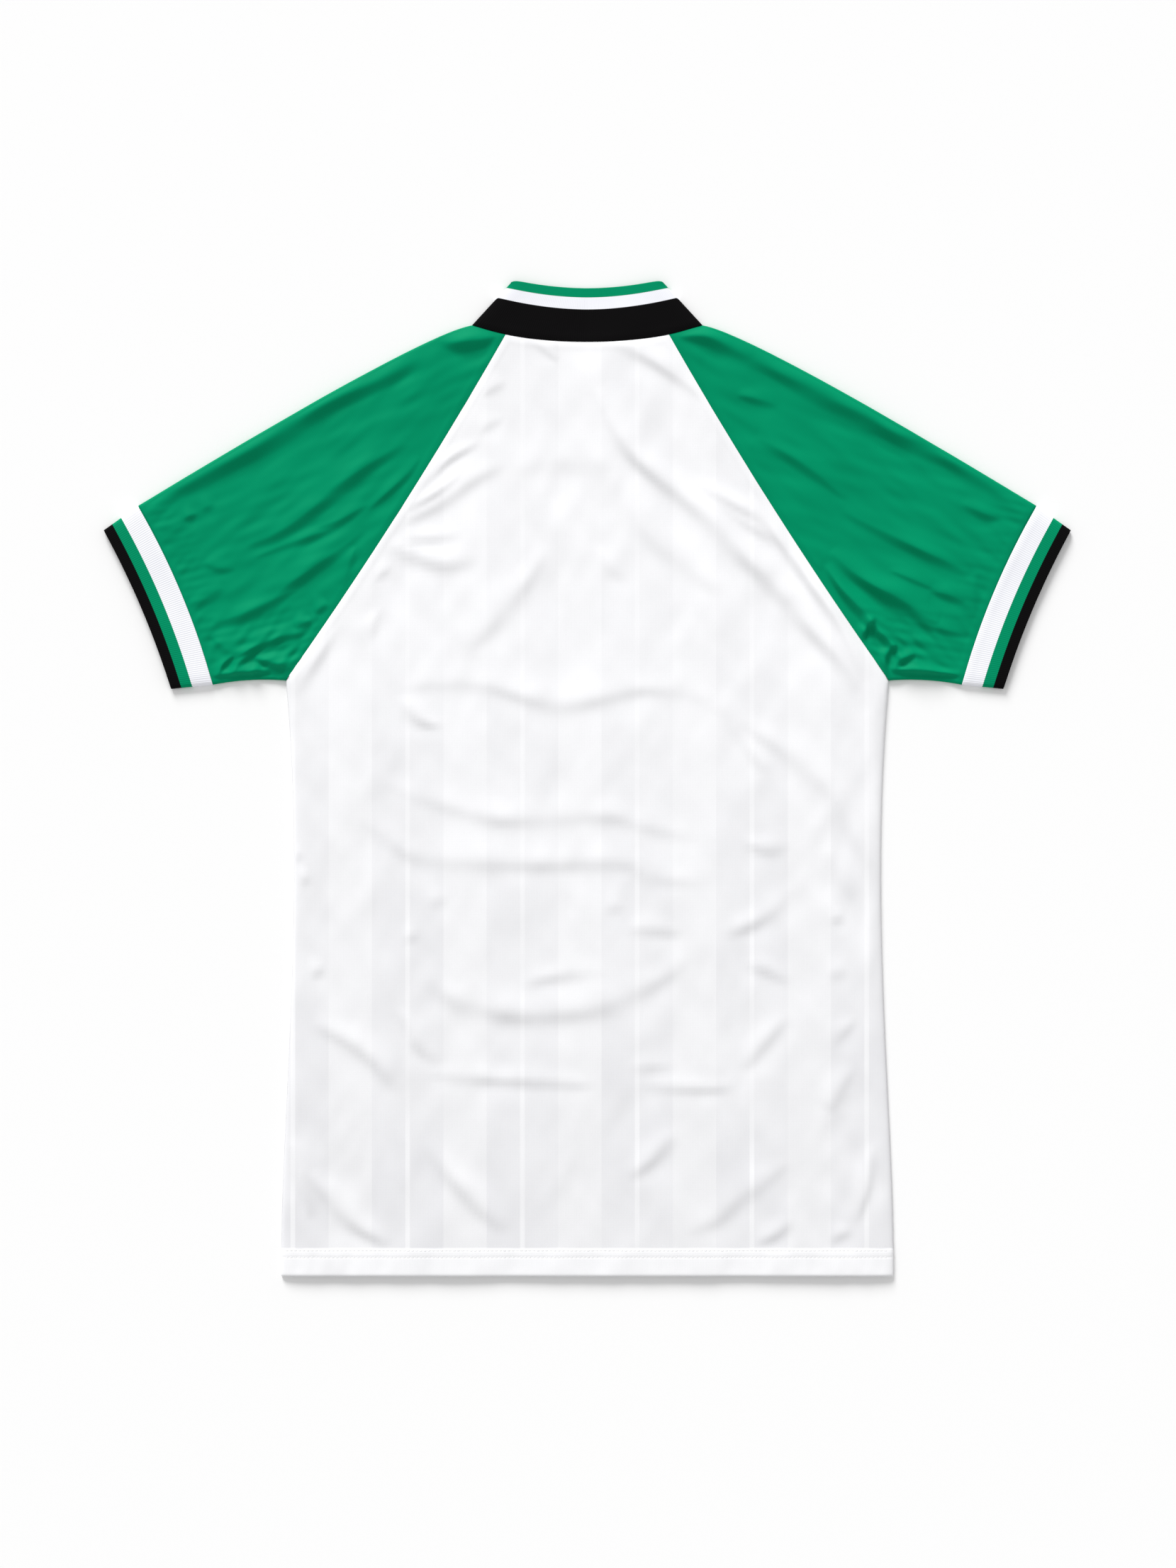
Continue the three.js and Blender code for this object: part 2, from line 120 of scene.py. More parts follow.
# Each row is a crease: its width, its height, and its line as x, rise, x, rise and so on. The line
# follows the foot of the crease's ridge, and the ridge lies on the line's left.
BODY_CREASES = [
    (14, 3.6, 12, 678, 40, 640, 84, 602, 124, 562, 148, 537, 169, 513, 213, 460, 223, 407, 226, 350),
    (10, 2.2, 5, 700, 18, 668, 30, 649, 48, 631, 68, 615),
    (9, 1.8, 98, 611, 124, 592, 155, 571, 181, 531, 208, 478),
    (8, 2.0, 84, 624, 117, 606, 140, 592, 156, 572),
    (8, 2.4, 142, 590, 158, 566, 174, 546, 192, 520, 206, 494, 214, 470),
    (10, 2.0, 16, 738, 29, 730, 49, 720, 70, 706, 92, 690),
    (6, 1.1, -46, 738, -35, 730, -24, 721),
    (13, 1.6, 27, 627, 33, 600, 49, 578, 67, 563, 86, 549, 104, 538),
    (9, 1.2, 3, 574, 15, 558, 30, 547),
    (13, 2.0, -93, 492, -74, 510, -59, 526, -43, 550, -28, 574),
    (7, 1.1, -82, 694, -63, 704),
    (6, 1.4, -128, 623, -118, 633, -108, 643, -96, 650, -84, 656),
    (10, 1.8, -145, 593, -117, 606, -86, 627, -64, 638),
    (10, 2.3, -159, 575, -139, 566, -111, 558, -85, 564),
    (6, 1.5, -148, 582, -124, 580, -98, 583),
    (6, 1.1, -166, 551, -154, 556),
    (11, 1.7, -229, 456, -212, 483, -196, 511),
    (8, 1.3, -167, 502, -165, 525),
    (17, 1.1, -57, 635, -20, 637, 22, 636),
    (12, 1.6, -152, 458, -126, 464, -80, 463, -43, 451, -16, 447, 21, 455, 43, 460, 73, 458, 98, 452),
    (13, 2.0, 84, 456, 119, 435, 162, 404, 190, 377, 212, 337, 219, 300, 219, 252, 218, 212),
    (8, 2.1, -150, 455, -141, 444, -132, 436, -115, 431),
    (7, 1.8, 112, 438, 122, 421, 131, 406, 142, 396),
    (11, 1.5, -164, 389, -144, 379, -105, 366, -74, 358, -46, 357, 15, 360, 37, 354, 72, 346, 90, 340),
    (11, 1.45, -186, 362, -168, 350, -151, 337, -129, 326, -46, 322, 27, 323, 40, 314, 71, 310, 96, 308),
    (7, 0.9, 14, 289, 28, 289),
    (8, 1.6, 32, 272, 52, 271, 74, 269),
    (9, 1.6, 109, 268, 122, 272, 138, 279, 153, 291, 163, 307),
    (8, 1.6, 123, 342, 141, 334, 160, 337),
    (9, 1.3, 184, 336, 198, 314, 206, 295),
    (8, 1.7, 124, 246, 141, 239, 160, 229),
    (14, 2.2, -134, 254, -123, 231, -108, 215, -86, 208, -56, 202, -25, 203, 12, 208, 49, 225, 72, 241,
     90, 262),
    (8, 1.3, -50, 229, -25, 234, 16, 239),
    (8, 1.5, -126, 160, -106, 155, -74, 153, -17, 150, 8, 149),
    (7, 1.4, 42, 150, 60, 147, 98, 146, 116, 148),
    (7, 1.0, 32, 163, 68, 163),
    (11, 2.9, -218, 198, -191, 183, -172, 169, -160, 154, -150, 143),
    (8, 2.6, -150, 210, -143, 196, -135, 179, -118, 166),
    (11, 3.1, -220, 82, -212, 66, -197, 48, -179, 34, -157, 23),
    (9, 2.4, -239, 108, -233, 90, -226, 68, -221, 46),
    (11, 3.2, -130, 106, -108, 74, -89, 53, -67, 33),
    (10, 2.2, 35, 76, 55, 92, 71, 112),
    (12, 2.0, 78, 32, 104, 42, 122, 59, 141, 71, 160, 90),
    (8, 1.8, 134, 25, 150, 31, 163, 44),
    (9, 2.1, 195, 130, 199, 142, 212, 164),
    (7, 1.4, 195, 181, 212, 201),
    (8, 1.7, 214, 42, 224, 74, 227, 103),
    (9, 2.1, 125, 162, 138, 178, 160, 204),
    (7, 1.4, 192, 26, 209, 35),
    (7, 1.3, -233, 327, -223, 333),
    (6, 1.2, -226, 309, -217, 314),
    (8, 1.2, -218, 236, -206, 241),
    (7, 1.1, 192, 279, 204, 282),
    (8, 1.2, 190, 234, 206, 240),
    (9, 1.0, -124, 292, -110, 296),
    (7, 1.1, -84, 664, -76, 670, -66, 675),
    (5, 1.3, -144, 604, -128, 611, -112, 621, -98, 633),
    (8, 1.0, -144, 264, -132, 268),
]
SLEEVE_CREASES = [
    (13, 3.8, -339, 608, -323, 617, -283, 637, -243, 659, -203, 685, -163, 703, -131, 722),
    (9, 3.2, -118, 735, -103, 733, -83, 735, -72, 740),
    (11, 3.0, -269, 574, -243, 583, -211, 605, -193, 621, -171, 637, -141, 656),
    (7, 1.7, -213, 589, -193, 595, -173, 608),
    (9, 2.2, -285, 512, -251, 527, -233, 543, -213, 557, -191, 573, -175, 587),
    (7, 1.7, -309, 524, -299, 533, -286, 542),
    (6, 1.4, -304, 603, -294, 607),
    (6, 1.3, -318, 596, -308, 600),
    (7, 1.6, -214, 522, -203, 529),
    (6, 1.8, -230, 510, -217, 516),
    (5, 4.2, -264, 487, -247, 481, -229, 476),
    (4, 2.2, -279, 475, -272, 484, -262, 491),
    (4, 2.0, -290, 474, -286, 482, -278, 489),
    (4, 3.2, -299, 472, -270, 475, -243, 476),
    (5, 2.6, -279, 486, -260, 495, -241, 502, -216, 507),
    (7, 1.5, -298, 504, -287, 493, -276, 482),
    (7, 1.5, -191, 544, -185, 561, -182, 575),
    (6, 1.5, -172, 604, -155, 618, -140, 632, -131, 645),
    (6, 1.2, -262, 566, -235, 576, -210, 584, -190, 594),
    (6, 1.3, -296, 514, -275, 519, -250, 530, -228, 541),
    (6, 1.2, -303, 562, -290, 556, -277, 557),
    (13, 4.1, 113, 728, 147, 711, 179, 693, 211, 677, 241, 661, 271, 647, 301, 631, 341, 600),
    (9, 3.2, 72, 740, 91, 738, 105, 732, 129, 722),
    (7, 1.5, 118, 694, 135, 689, 150, 685),
    (9, 2.3, 132, 660, 147, 651, 163, 641, 181, 629, 203, 612),
    (9, 2.4, 200, 602, 231, 585, 251, 575, 281, 561, 301, 552),
    (10, 4.8, 190, 570, 207, 553, 225, 541, 243, 531, 261, 519, 277, 514),
    (8, 4.8, 186, 560, 199, 540, 215, 522, 231, 504, 247, 492),
    (5, 3.4, 216, 500, 221, 509, 228, 520),
    (4, 4.2, 238, 472, 236, 482, 238, 491, 245, 498),
    (4, 2.8, 241, 477, 249, 485, 259, 490),
    (4, 4.0, 239, 477, 262, 476, 294, 473),
    (8, 1.7, 294, 608, 311, 599, 325, 596),
    (7, 1.5, 270, 540, 283, 535, 297, 530),
    (7, 1.3, 307, 519, 308, 555),
    (7, 1.5, 250, 516, 275, 509, 300, 503),
    (5, 1.1, 238, 556, 256, 548, 276, 540),
    (6, 1.2, 161, 580, 172, 567, 184, 556),
]
TROUGH_SHARE = 0.45  # depth of the trough beside a ridge, as a share of the ridge
CREASE_SMOOTHING = 4  # stretches of line between two given points
CREASE_REACH = 3.6  # how far a crease is felt, in its widths
FRONT_SLOPE = 0.5  # steep side of ridge and trough, in widths
BACK_SLOPE = 1.05  # gentle side
UNEVEN_WAVES = [(9.0, 2.4), (15.5, 1.3)]  # each wave's length along a crease, and its shift to the next
UNEVEN_WIDTH = 0.1
UNEVEN_HEIGHT = 0.13
NARROW_END = 0.6  # a crease's width at its ends, as a share of its width in the middle
END_TAPER = 0.85
BODY_CREASE_SHARE = 0.6
SLEEVE_CREASE_SHARE = 0.92
RIB_CREASE_SHARE = 0.5
UNDER_CREASE_SHARE = 0.08  # the side that rests on the floor has the same creases, mirrored and pressed
UNDER_CREASE_LIMIT = 0.42

# Small swellings: seed, number of waves, height, and the shortest and longest wave across and along
BODY_CRUMPLE = (11, 60, 0.09, (12, 48), (25, 90))
SLEEVE_CRUMPLE = (5, 70, 0.17, (9, 26), (34, 140))
ARMPIT_CRUMPLE = (8, 70, 0.34, (6, 15), (14, 46))
ARMPIT_REACH = (26, 75)
CUFF_PUCKERS = 0.45  # how strongly the sleeve is drawn up at its cuff, as a share of the armpit
CUFF_REACH = (4, 44)
MIRROR_SHIFT = 417  # keeps the two sleeves' swellings from being alike
SLEEVE_GRAIN = (0.859, -0.511)
PATCH_DEPTH = 0.6  # the swellings grow and fade in patches
PATCH_SIZES = (31, 43)

# Edges and hem of the body
SIDE_DROP = 1.1
HEM_ROLL = 2.4
HEM_DROP = 1.0
HEM_FALL = 0.9
HEM_FLAT = 8
FRONT_ROLL = 0.5
HEM_STITCH_RISES = (20.4, 15.2)
STITCH_GROOVE = 0.16
GROOVE_HALF = 0.8
STITCH_PITCH = 3.3
STITCH_LENGTH = 2.5
STITCH_WIDTH = 0.45
STITCH_MARGIN = 3
STITCH_LIFT = 0.05
HEM_PUCKERS = [(0.1, 13.1, 0.3), (0.08, 21.7, 1.9), (0.12, 57, 4)]  # height, wavelength, start
STRIPE_START = 11

# Materials, with their lengths in metres
JERSEY_KNIT = {"column": 0.001, "course": 0.0008}
RIB_KNIT = {"column": 0.0015, "course": 0.001}
RIB_PITCH = 0.0015
RIB_TOOTH = 0.0005
RIB_LOOPS = 0.3
KNIT_DEPTH = 0.0002
LOOP_SLANT = 0.7
LOOP_SHARE = 0.35
LINE_BLUR, BAND_BLUR, HEM_BLUR = 0.0008, 0.0012, 0.0006
STRIPE_FADE = (0.35, 0.65, 0.25, 1)
UPPER_FADE = 0.7
YARN_SHADE = (0.3, 0.7, 0.97, 1.02)
HEM_WHITENESS = 0.9  # how far the doubled hem goes from plain to bright
LINE_WHITENESS = 0.65
BODY_ROUGHNESS = 0.5
DULL_ROUGHENING = 0.2
SHEEN_ROUGHNESS = 0.45
THREAD_TWIST = 900
THREAD_COLOURS = [(0.86, 0.86, 0.87), (0.95, 0.95, 0.95)]
FLOOR_COLOUR = (0.98, 0.98, 0.98, 1)
FLOOR_ROUGHNESS = 0.9

# Sleeves, cuffs and collar
HEAD_SHARE = 0.92  # part of a sleeve's head that is raglan seam
CUFF_DEPTH = 30.3
CUFF_TIP = 7.7
CUFF_MIDDLE = 7.9
COLLAR_TIP = 7.5
COLLAR_MIDDLE = 9.4
SIDES = [("left", -1), ("right", 1)]

# How finely each piece's grid is laid
BACK_EDGE_ROWS = [0, 0.5, 1.1, 1.9, 3, 5, 8, 11]
FRONT_EDGE_ROWS = [0, 0.5, 1.1, 1.9, 3, 6, 10]
HEM_ROWS = (13.4, 23.4)
BACK_SIDE_START = 25
FRONT_SIDE_START = 27
BACK_STEPS = (151, 21, 125, 84)  # columns, then rows over the hem, to the armpit and up the raglan
FRONT_STEPS = (101, 11, 95, 60)
SLEEVE_STEPS = (168, 9, 60, 8, 131)  # back raglan and neck, front raglan and neck, rows to the cuff
CUFF_STEPS = (61, 31, 23)  # round the upper layer, round the under one, rows to the edge
COLLAR_STEPS = (111, 121, 29)
TURN_STEPS = 10
SIDE_SAMPLES, EDGE_SAMPLES, NECK_SAMPLES = 2001, 1601, 200
WELD = 1e-6

# Stage: a wide, even key light from the top left, over an all-round soft light
KEY_FROM = (-0.7, 2.42, 1.15)
KEY_SPREAD = math.radians(24)
KEY_LIGHT = 3.2
WORLD_LIGHT = 0.585
FLOOR_HALF = 6.0
PHOTO_SIZE = (1659, 2212)
PHOTO_ORIGIN = (828.5, 1799.5)  # pixel where the jersey's axis meets the hem's edge
PHOTO_SCALE = 0.56
CAMERA_HEIGHT = 2.5
CAMERA_SENSOR = 36

# Slow waves of the cloth, each with its height, its two wavelengths and its start
WAVES = [(0.34, 170, -230, 0.4), (0.26, 95, 140, 2.1), (0.2, -61, 83, 4.4), (0.12, 38, 47, 1.3)]


def bezier(*points):
    """A curve through its first and last plan point, pulled to those between."""
    points = np.array(points, float)
    last = len(points) - 1

    def at(t):
        t = np.asarray(t, float)[..., None]
        weights = [math.comb(last, k) * (1 - t) ** (last - k) * t**k for k in range(last + 1)]
        return sum(weight * point for weight, point in zip(weights, points))

    return at


def left_of(along):
    """Unit vector to the left of a direction."""
    along = along / np.linalg.norm(along, axis=-1, keepdims=True)
    return np.stack([-along[..., 1], along[..., 0]], axis=-1)


def bowed(start, end, bow):
    start, end = np.array(start, float), np.array(end, float)
    return bezier(start, (start + end) / 2 + 2 * bow * left_of(end - start), end)


def mix(a, b, t):
    return a + (b - a) * t


def smoothstep(x, low, high):
    t = np.clip((np.asarray(x, float) - low) / (high - low), 0, 1)
    return t * t * (3 - 2 * t)


def half_of(points):
    """Plan points with the left half mirrored onto the right one."""
    return np.column_stack([np.abs(points[:, 0]), points[:, 1]])


def rounded_edge(distance, reach):
    """Share of the full height at a distance from an edge that is rolled over its reach."""
    return np.sqrt(1 - (1 - np.clip(distance / reach, 0, 1)) ** 2)


def back_neck(x):
    """Rise of the back neck seam at x."""
    share = np.abs(x) / NECK_SIDE[0]
    return BACK_NECK_RISE + (NECK_SIDE[1] - BACK_NECK_RISE) * share**BACK_NECK_POWER


def on_back_neck(x):
    return np.stack([x, back_neck(x)], axis=-1)


def front_neck_line(side, fall, spread, centre_rise):
    """From the collar's fold round to the centre front, starting as the back neckline's image in it."""
    fold = np.subtract(COLLAR_FOLD_END, NECK_SIDE)
    slope = BACK_NECK_POWER * (NECK_SIDE[1] - BACK_NECK_RISE) / NECK_SIDE[0]
    angle = 2 * math.atan2(fold[1], fold[0]) - math.atan(slope)
    steep = np.add(side, (fall * math.cos(angle), fall * math.sin(angle)))
    return bezier(side, steep, (spread, centre_rise), (0, centre_rise))


side_seam = bezier(HEM_CORNER, HEM_PULL, WAIST_PULL, ARMPIT)
shoulder_fold = bezier(NECK_SIDE, SHOULDER_PULL_NEAR, SHOULDER_PULL_FAR, CUFF_SEAM_TOP)
underarm_fold = bowed(ARMPIT, CUFF_SEAM_LOW, UNDERARM_BOW)
cuff_seam = bowed(CUFF_SEAM_LOW, CUFF_SEAM_TOP, CUFF_SEAM_BOW)
cuff_edge = bowed(CUFF_EDGE_LOW, CUFF_EDGE_TOP, CUFF_EDGE_BOW)
cuff_fold_low = bezier(CUFF_SEAM_LOW, CUFF_EDGE_LOW)
cuff_fold_top = bezier(CUFF_SEAM_TOP, CUFF_EDGE_TOP)
collar_fold = bezier(NECK_SIDE, COLLAR_FOLD_END)
front_neck = front_neck_line(NECK_SIDE, FRONT_NECK_FALL, FRONT_NECK_SPREAD, FRONT_NECK_RISE)
collar_inner = front_neck_line(
    COLLAR_FOLD_END, COLLAR_INNER_FALL, COLLAR_INNER_SPREAD, FRONT_NECK_RISE + COLLAR_FRONT_DEPTH
)
back_raglan = bowed(ARMPIT, (BACK_RAGLAN_TOP, back_neck(BACK_RAGLAN_TOP)), RAGLAN_BOW)
front_raglan = bowed(ARMPIT, front_neck(FRONT_RAGLAN_SHARE), RAGLAN_BOW)


def line_of(curve):
    return curve(np.linspace(0, 1, LINE_STEPS + 1))


CLOSED_EDGES = [
    line_of(side_seam),
    line_of(underarm_fold),
    line_of(cuff_fold_low),
    line_of(shoulder_fold),
    line_of(cuff_fold_top),
    line_of(collar_fold),
]
NECK_HALF = on_back_neck(np.linspace(0, NECK_SIDE[0], LINE_STEPS + 1))
SEAMS = [line_of(back_raglan), NECK_HALF, line_of(cuff_seam)]
COLLAR_INNER_LINE = line_of(collar_inner)


def nearest(line, points):
    """Distance, side (left above zero), share along the line and place nearest to each plan point."""
    distance = np.full(len(points), np.inf)
    side, share = np.zeros(len(points)), np.zeros(len(points))
    place = np.zeros_like(points)
    for i in range(len(line) - 1):
        along = line[i + 1] - line[i]
        offset = points - line[i]
        t = np.clip(offset @ along / (along @ along), 0, 1)
        foot = line[i] + t[:, None] * along
        far = np.hypot(*(points - foot).T)
        closer = far < distance
        distance[closer] = far[closer]
        side[closer] = np.sign(along[0] * offset[:, 1] - along[1] * offset[:, 0])[closer]
        share[closer] = ((i + t) / (len(line) - 1))[closer]
        place[closer] = foot[closer]
    return distance, side, share, place


def smooth_line(points):
    """A rounded line through plan points."""
    points = np.array(points, float)
    padded = np.vstack([2 * points[0] - points[1], points, 2 * points[-1] - points[-2]])
    line = []
    for i in range(len(points) - 1):
        a, b, c, d = padded[i : i + 4]
        bend = 2 * a - 5 * b + 4 * c - d
        twist = 3 * (b - c) + d - a
        for t in np.arange(CREASE_SMOOTHING) / CREASE_SMOOTHING:
            line.append(b + t * ((c - a) + t * (bend + t * twist)) / 2)
    return np.array(line + [points[-1]])


def crease_heights(points, creases):
    """Ridges and the troughs beside them, uneven along their length and fading out at their ends."""
    total = np.zeros(len(points))
    for number, (width, height, *line) in enumerate(creases):
        line = smooth_line(np.reshape(line, (-1, 2)))
        reach = CREASE_REACH * width
        low, high = line.min(0) - reach, line.max(0) + reach
        near = np.where(np.all((points > low) & (points < high), axis=1))[0]
        if not len(near):
            continue
        distance, side, share, _ = nearest(line, points[near])
        length = np.hypot(*np.diff(line, axis=0).T).sum()
        middle = np.sin(np.pi * np.clip(share, 0, 1))
        uneven = sum(np.sin(length * share / wave + shift * number) for wave, shift in UNEVEN_WAVES)
        width = width * (NARROW_END + (1 - NARROW_END) * middle) * (1 + UNEVEN_WIDTH * uneven)
        q = distance * side / width
        ridge = np.exp(-(((q - 0.5) / np.where(q > 0.5, BACK_SLOPE, FRONT_SLOPE)) ** 2))
        trough = np.exp(-(((q + 0.5) / np.where(q < -0.5, BACK_SLOPE, FRONT_SLOPE)) ** 2))
        height = height * middle**END_TAPER * (1 - UNEVEN_HEIGHT * uneven)
        total[near] += height * (ridge - TROUGH_SHARE * trough)
    return total


def crumple(points, field, along=(0, 1)):
    """Small uneven swelling of the cloth: many faint waves, drawn out along its grain."""
    seed, count, height, short, long = field
    draw = np.random.default_rng(seed)
    along = np.array(along, float)
    across = points @ np.array([along[1], -along[0]])
    forward = points @ along
    total, size = np.zeros(len(points)), 0
    for _ in range(count):
        a, b = draw.uniform(*short), draw.uniform(*long) * draw.choice([-1, 1])
        weight = a / short[1]
        total += weight * np.sin(2 * np.pi * (across / a + forward / b) + draw.uniform(0, 2 * np.pi))
        size += weight**2 / 2
    patch_width, patch_length = PATCH_SIZES
    patches = np.sin(across / patch_width + seed) * np.sin(forward / patch_length + 2 * seed)
    return height * (1 + PATCH_DEPTH * patches) * total / math.sqrt(size)


def lower_top(points, wall):
    """Top of what lies under the upper layer: the front, its hem or the collar's front band."""
    x, rise = np.abs(points[:, 0]), points[:, 1]
    hem = HEM_STEP * (1 - smoothstep(rise, HEM_DEPTH, HEM_DEPTH + HEM_EASE))
    band = smoothstep(rise, FRONT_NECK_RISE - HEM_EASE, FRONT_NECK_RISE)
    band *= 1 - smoothstep(x, NECK_SIDE[0], NECK_SIDE[0] + HEM_EASE)
    return np.maximum(wall, np.maximum(SOLID_CLOTH + hem, mix(SOLID_CLOTH, SOLID_RIB, band)))


def upper_level(points, wall, creases, strength=1.0):
    """Middle height of the upper layer's solid at each plan point, with the creases on it."""
    half = half_of(points)
    rise = rounded_edge(np.min([nearest(line, half)[0] for line in CLOSED_EDGES], axis=0), EDGE_ROLL)
    x, y = points.T
    waves = sum(h * np.sin(2 * np.pi * (x / a + y / b) + p) for h, a, b, p in WAVES)
    to_seam = np.min([nearest(seam, half)[0] for seam in SEAMS], axis=0)
    dip = SEAM_DIP * np.exp(-((to_seam / SEAM_HALF) ** 2))
    turning = SEAM_RIDGE * np.exp(-(((to_seam - SEAM_RIDGE_AT) / 2) ** 2))
    folds = strength * crease_heights(points, creases) + waves
    if creases is BODY_CREASES:
        folds *= BODY_CREASE_SHARE
        folds += crumple(points, BODY_CRUMPLE)
    elif creases is SLEEVE_CREASES:
        folds *= SLEEVE_CREASE_SHARE
        shifted = half + np.where(x[:, None] < 0, MIRROR_SHIFT, 0)
        folds += crumple(shifted, SLEEVE_CRUMPLE, SLEEVE_GRAIN)
        near_pit = 1 - smoothstep(np.hypot(*(half - ARMPIT).T), *ARMPIT_REACH)
        near_cuff = 1 - smoothstep(nearest(SEAMS[2], half)[0], *CUFF_REACH)
        drawn = np.maximum(near_pit, CUFF_PUCKERS * near_cuff)
        folds += drawn * crumple(shifted, ARMPIT_CRUMPLE, SLEEVE_GRAIN)
    else:
        folds *= RIB_CREASE_SHARE
    folds *= 1 - SEAM_HOLD * np.exp(-((to_seam / SEAM_HOLD_REACH) ** 2))
    floor = lower_top(points, wall) + LAYER_GAP + wall / 2
    wanted = EDGE_LEVEL + (LOFT + folds) * rise + turning - dip
    level = floor + np.logaddexp(0, CONTACT_SHARPNESS * (wanted - floor)) / CONTACT_SHARPNESS
    distance, _, _, place = nearest(COLLAR_INNER_LINE, half)
    inside = (half[:, 0] < place[:, 0]) & (half[:, 1] > place[:, 1])
    free = inside * smoothstep(distance, REST_START, REST_START + REST_EASE)
    resting = REST_LEVEL + turning / 2 + np.clip(folds, *REST_FOLDS) * REST_FOLD_SHARE
    return mix(level, resting, free)


def under_level(points, creases, strength):
    """Height of the side that rests on the floor, which the mirrored creases lift a little."""
    inward = np.min([nearest(line, half_of(points))[0] for line in CLOSED_EDGES], axis=0)
    lift = UNDER_CREASE_SHARE * strength * crease_heights(points * [-1, 1], creases)
    return np.clip(lift, 0, UNDER_CREASE_LIMIT) * smoothstep(inward, FOLD_REACH, EDGE_ROLL)


def to_frame(points, heights):
    """Plan points and heights in millimetres as points of the frame, in metres."""
    return np.column_stack([points[:, 0] * MM, HEM_Y + points[:, 1] * MM, heights * MM])


def cloth_grid(columns, rows):
    """A flat grid mesh, as a bmesh, with the column and row number of each of its vertices."""
    mesh = bmesh.new()
    bmesh.ops.create_grid(mesh, x_segments=columns - 1, y_segments=rows - 1, size=0.5)
    flat = np.array([v.co[:2] for v in mesh.verts]) + 0.5
    column = np.rint(flat[:, 0] * (columns - 1)).astype(int)
    row = np.rint(flat[:, 1] * (rows - 1)).astype(int)
    return mesh, column, row


def add_piece(name, mesh, material):
    """A smooth mesh object in the scene, made from a bmesh."""
    data = bpy.data.meshes.new(name)
    mesh.to_mesh(data)
    mesh.free()
    data.polygons.foreach_set("use_smooth", [True] * len(data.polygons))
    data.materials.append(material)
    piece = bpy.data.objects.new(name, data)
    bpy.context.scene.collection.objects.link(piece)
    return piece


def finish_cloth(
    name, mesh, points, heights, cloth, material, node, wall, closed=False, flip=False
):
    """Moves a grid's vertices to their places, gives the cloth its wall, hangs it on the body's empty
    and hides its solid.
    """
    uv_layer = mesh.loops.layers.uv.new("cloth")
    mesh.verts.ensure_lookup_table()
    uv_of = {v: cloth[i] * MM for i, v in enumerate(mesh.verts)}
    for face in mesh.faces:
        for loop in face.loops:
            loop[uv_layer].uv = uv_of[loop.vert]
    for vert, place in zip(mesh.verts, to_frame(points, heights)):
        vert.co = place
    if closed:
        bmesh.ops.remove_doubles(mesh, verts=mesh.verts, dist=WELD)
        bmesh.ops.recalc_face_normals(mesh, faces=mesh.faces)
        highest = max(mesh.faces, key=lambda face: face.calc_center_median().z)
        flip = highest.normal.z < 0
    if flip:
        bmesh.ops.reverse_faces(mesh, faces=mesh.faces)
    piece = add_piece(name, mesh, material)
    shell = piece.modifiers.new("wall", "SOLIDIFY")
    shell.thickness = wall * MM
    shell.offset = -1
    shell.use_even_offset = False
    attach(piece, BODY)
    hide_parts(node)
    return piece


def eased(count, crowding):
    """Places from 0 to 1 that crowd towards both ends."""
    t = np.linspace(-1, 1, count)
    return 0.5 + 0.5 * ((1 - crowding) * t + crowding * np.sin(np.pi / 2 * t))


def panel_rows(low_rises, high_count, raglan):
    """Edge point and neckline share of each row: up the side seam, then up the raglan."""
    seam = side_seam(np.linspace(0, 1, SIDE_SAMPLES))
    low_x = np.interp(low_rises, seam[:, 1], seam[:, 0])
    low = np.column_stack([low_x, low_rises, np.zeros(len(low_rises))])
    share = eased(2 * high_count + 1, crowding=0.6)[high_count:] * 2 - 1
    high = np.column_stack([raglan(share[1:]), share[1:] ** 3])
    return np.vstack([low, high])


def body_grid(low_rises, high_count, raglan, columns, neck_rise):
    """A body panel's flat grid, and the plan points of its vertices."""
    rows = panel_rows(low_rises, high_count, raglan)
    mesh, column, row = cloth_grid(columns, len(rows))
    edge = rows[row]
    u = (2 * eased(columns, crowding=0.7) - 1)[column]
    sag = rows[-1, 1] - neck_rise(u * rows[-1, 0])
    return mesh, np.column_stack([u * edge[:, 0], edge[:, 1] - edge[:, 2] * sag])


def srgb(*levels):
    """Linear colour of 0 to 255 screen levels."""
    return tuple(
        c / 255 / 12.92 if c <= 10 else ((c / 255 + 0.055) / 1.055) ** 2.4 for c in levels
    )


# Materials


def feed(tree, socket, value):
    """Sets a socket to a number or a colour, or links it to another one."""
    if isinstance(value, (int, float)):
        socket.default_value = value
    elif isinstance(value, tuple):
        socket.default_value = (*value, 1)
    else:
        tree.links.new(value, socket)


def math_node(tree, operation, *values, clamp=False):
    node = tree.nodes.new("ShaderNodeMath")
    node.operation = operation
    node.use_clamp = clamp
    for socket, value in zip(node.inputs, values):
        feed(tree, socket, value)
    return node.outputs[0]


def map_range(tree, *values):
    """A value taken from one range to another: itself, then both ends of each range."""
    node = tree.nodes.new("ShaderNodeMapRange")
    for socket, value in zip(node.inputs, values):
        feed(tree, socket, value)
    return node.outputs["Result"]


def noise_value(tree, cloth, scale, detail):
    node = tree.nodes.new("ShaderNodeTexNoise")
    node.inputs["Scale"].default_value = scale
    node.inputs["Detail"].default_value = detail
    feed(tree, node.inputs["Vector"], cloth)
    return node.outputs["Fac"]


def within(calc, limit, value, blur):
    """Mask of where a value is below its limit."""
    return calc("ADD", calc("DIVIDE", calc("SUBTRACT", limit, value), blur), 0.5, clamp=True)


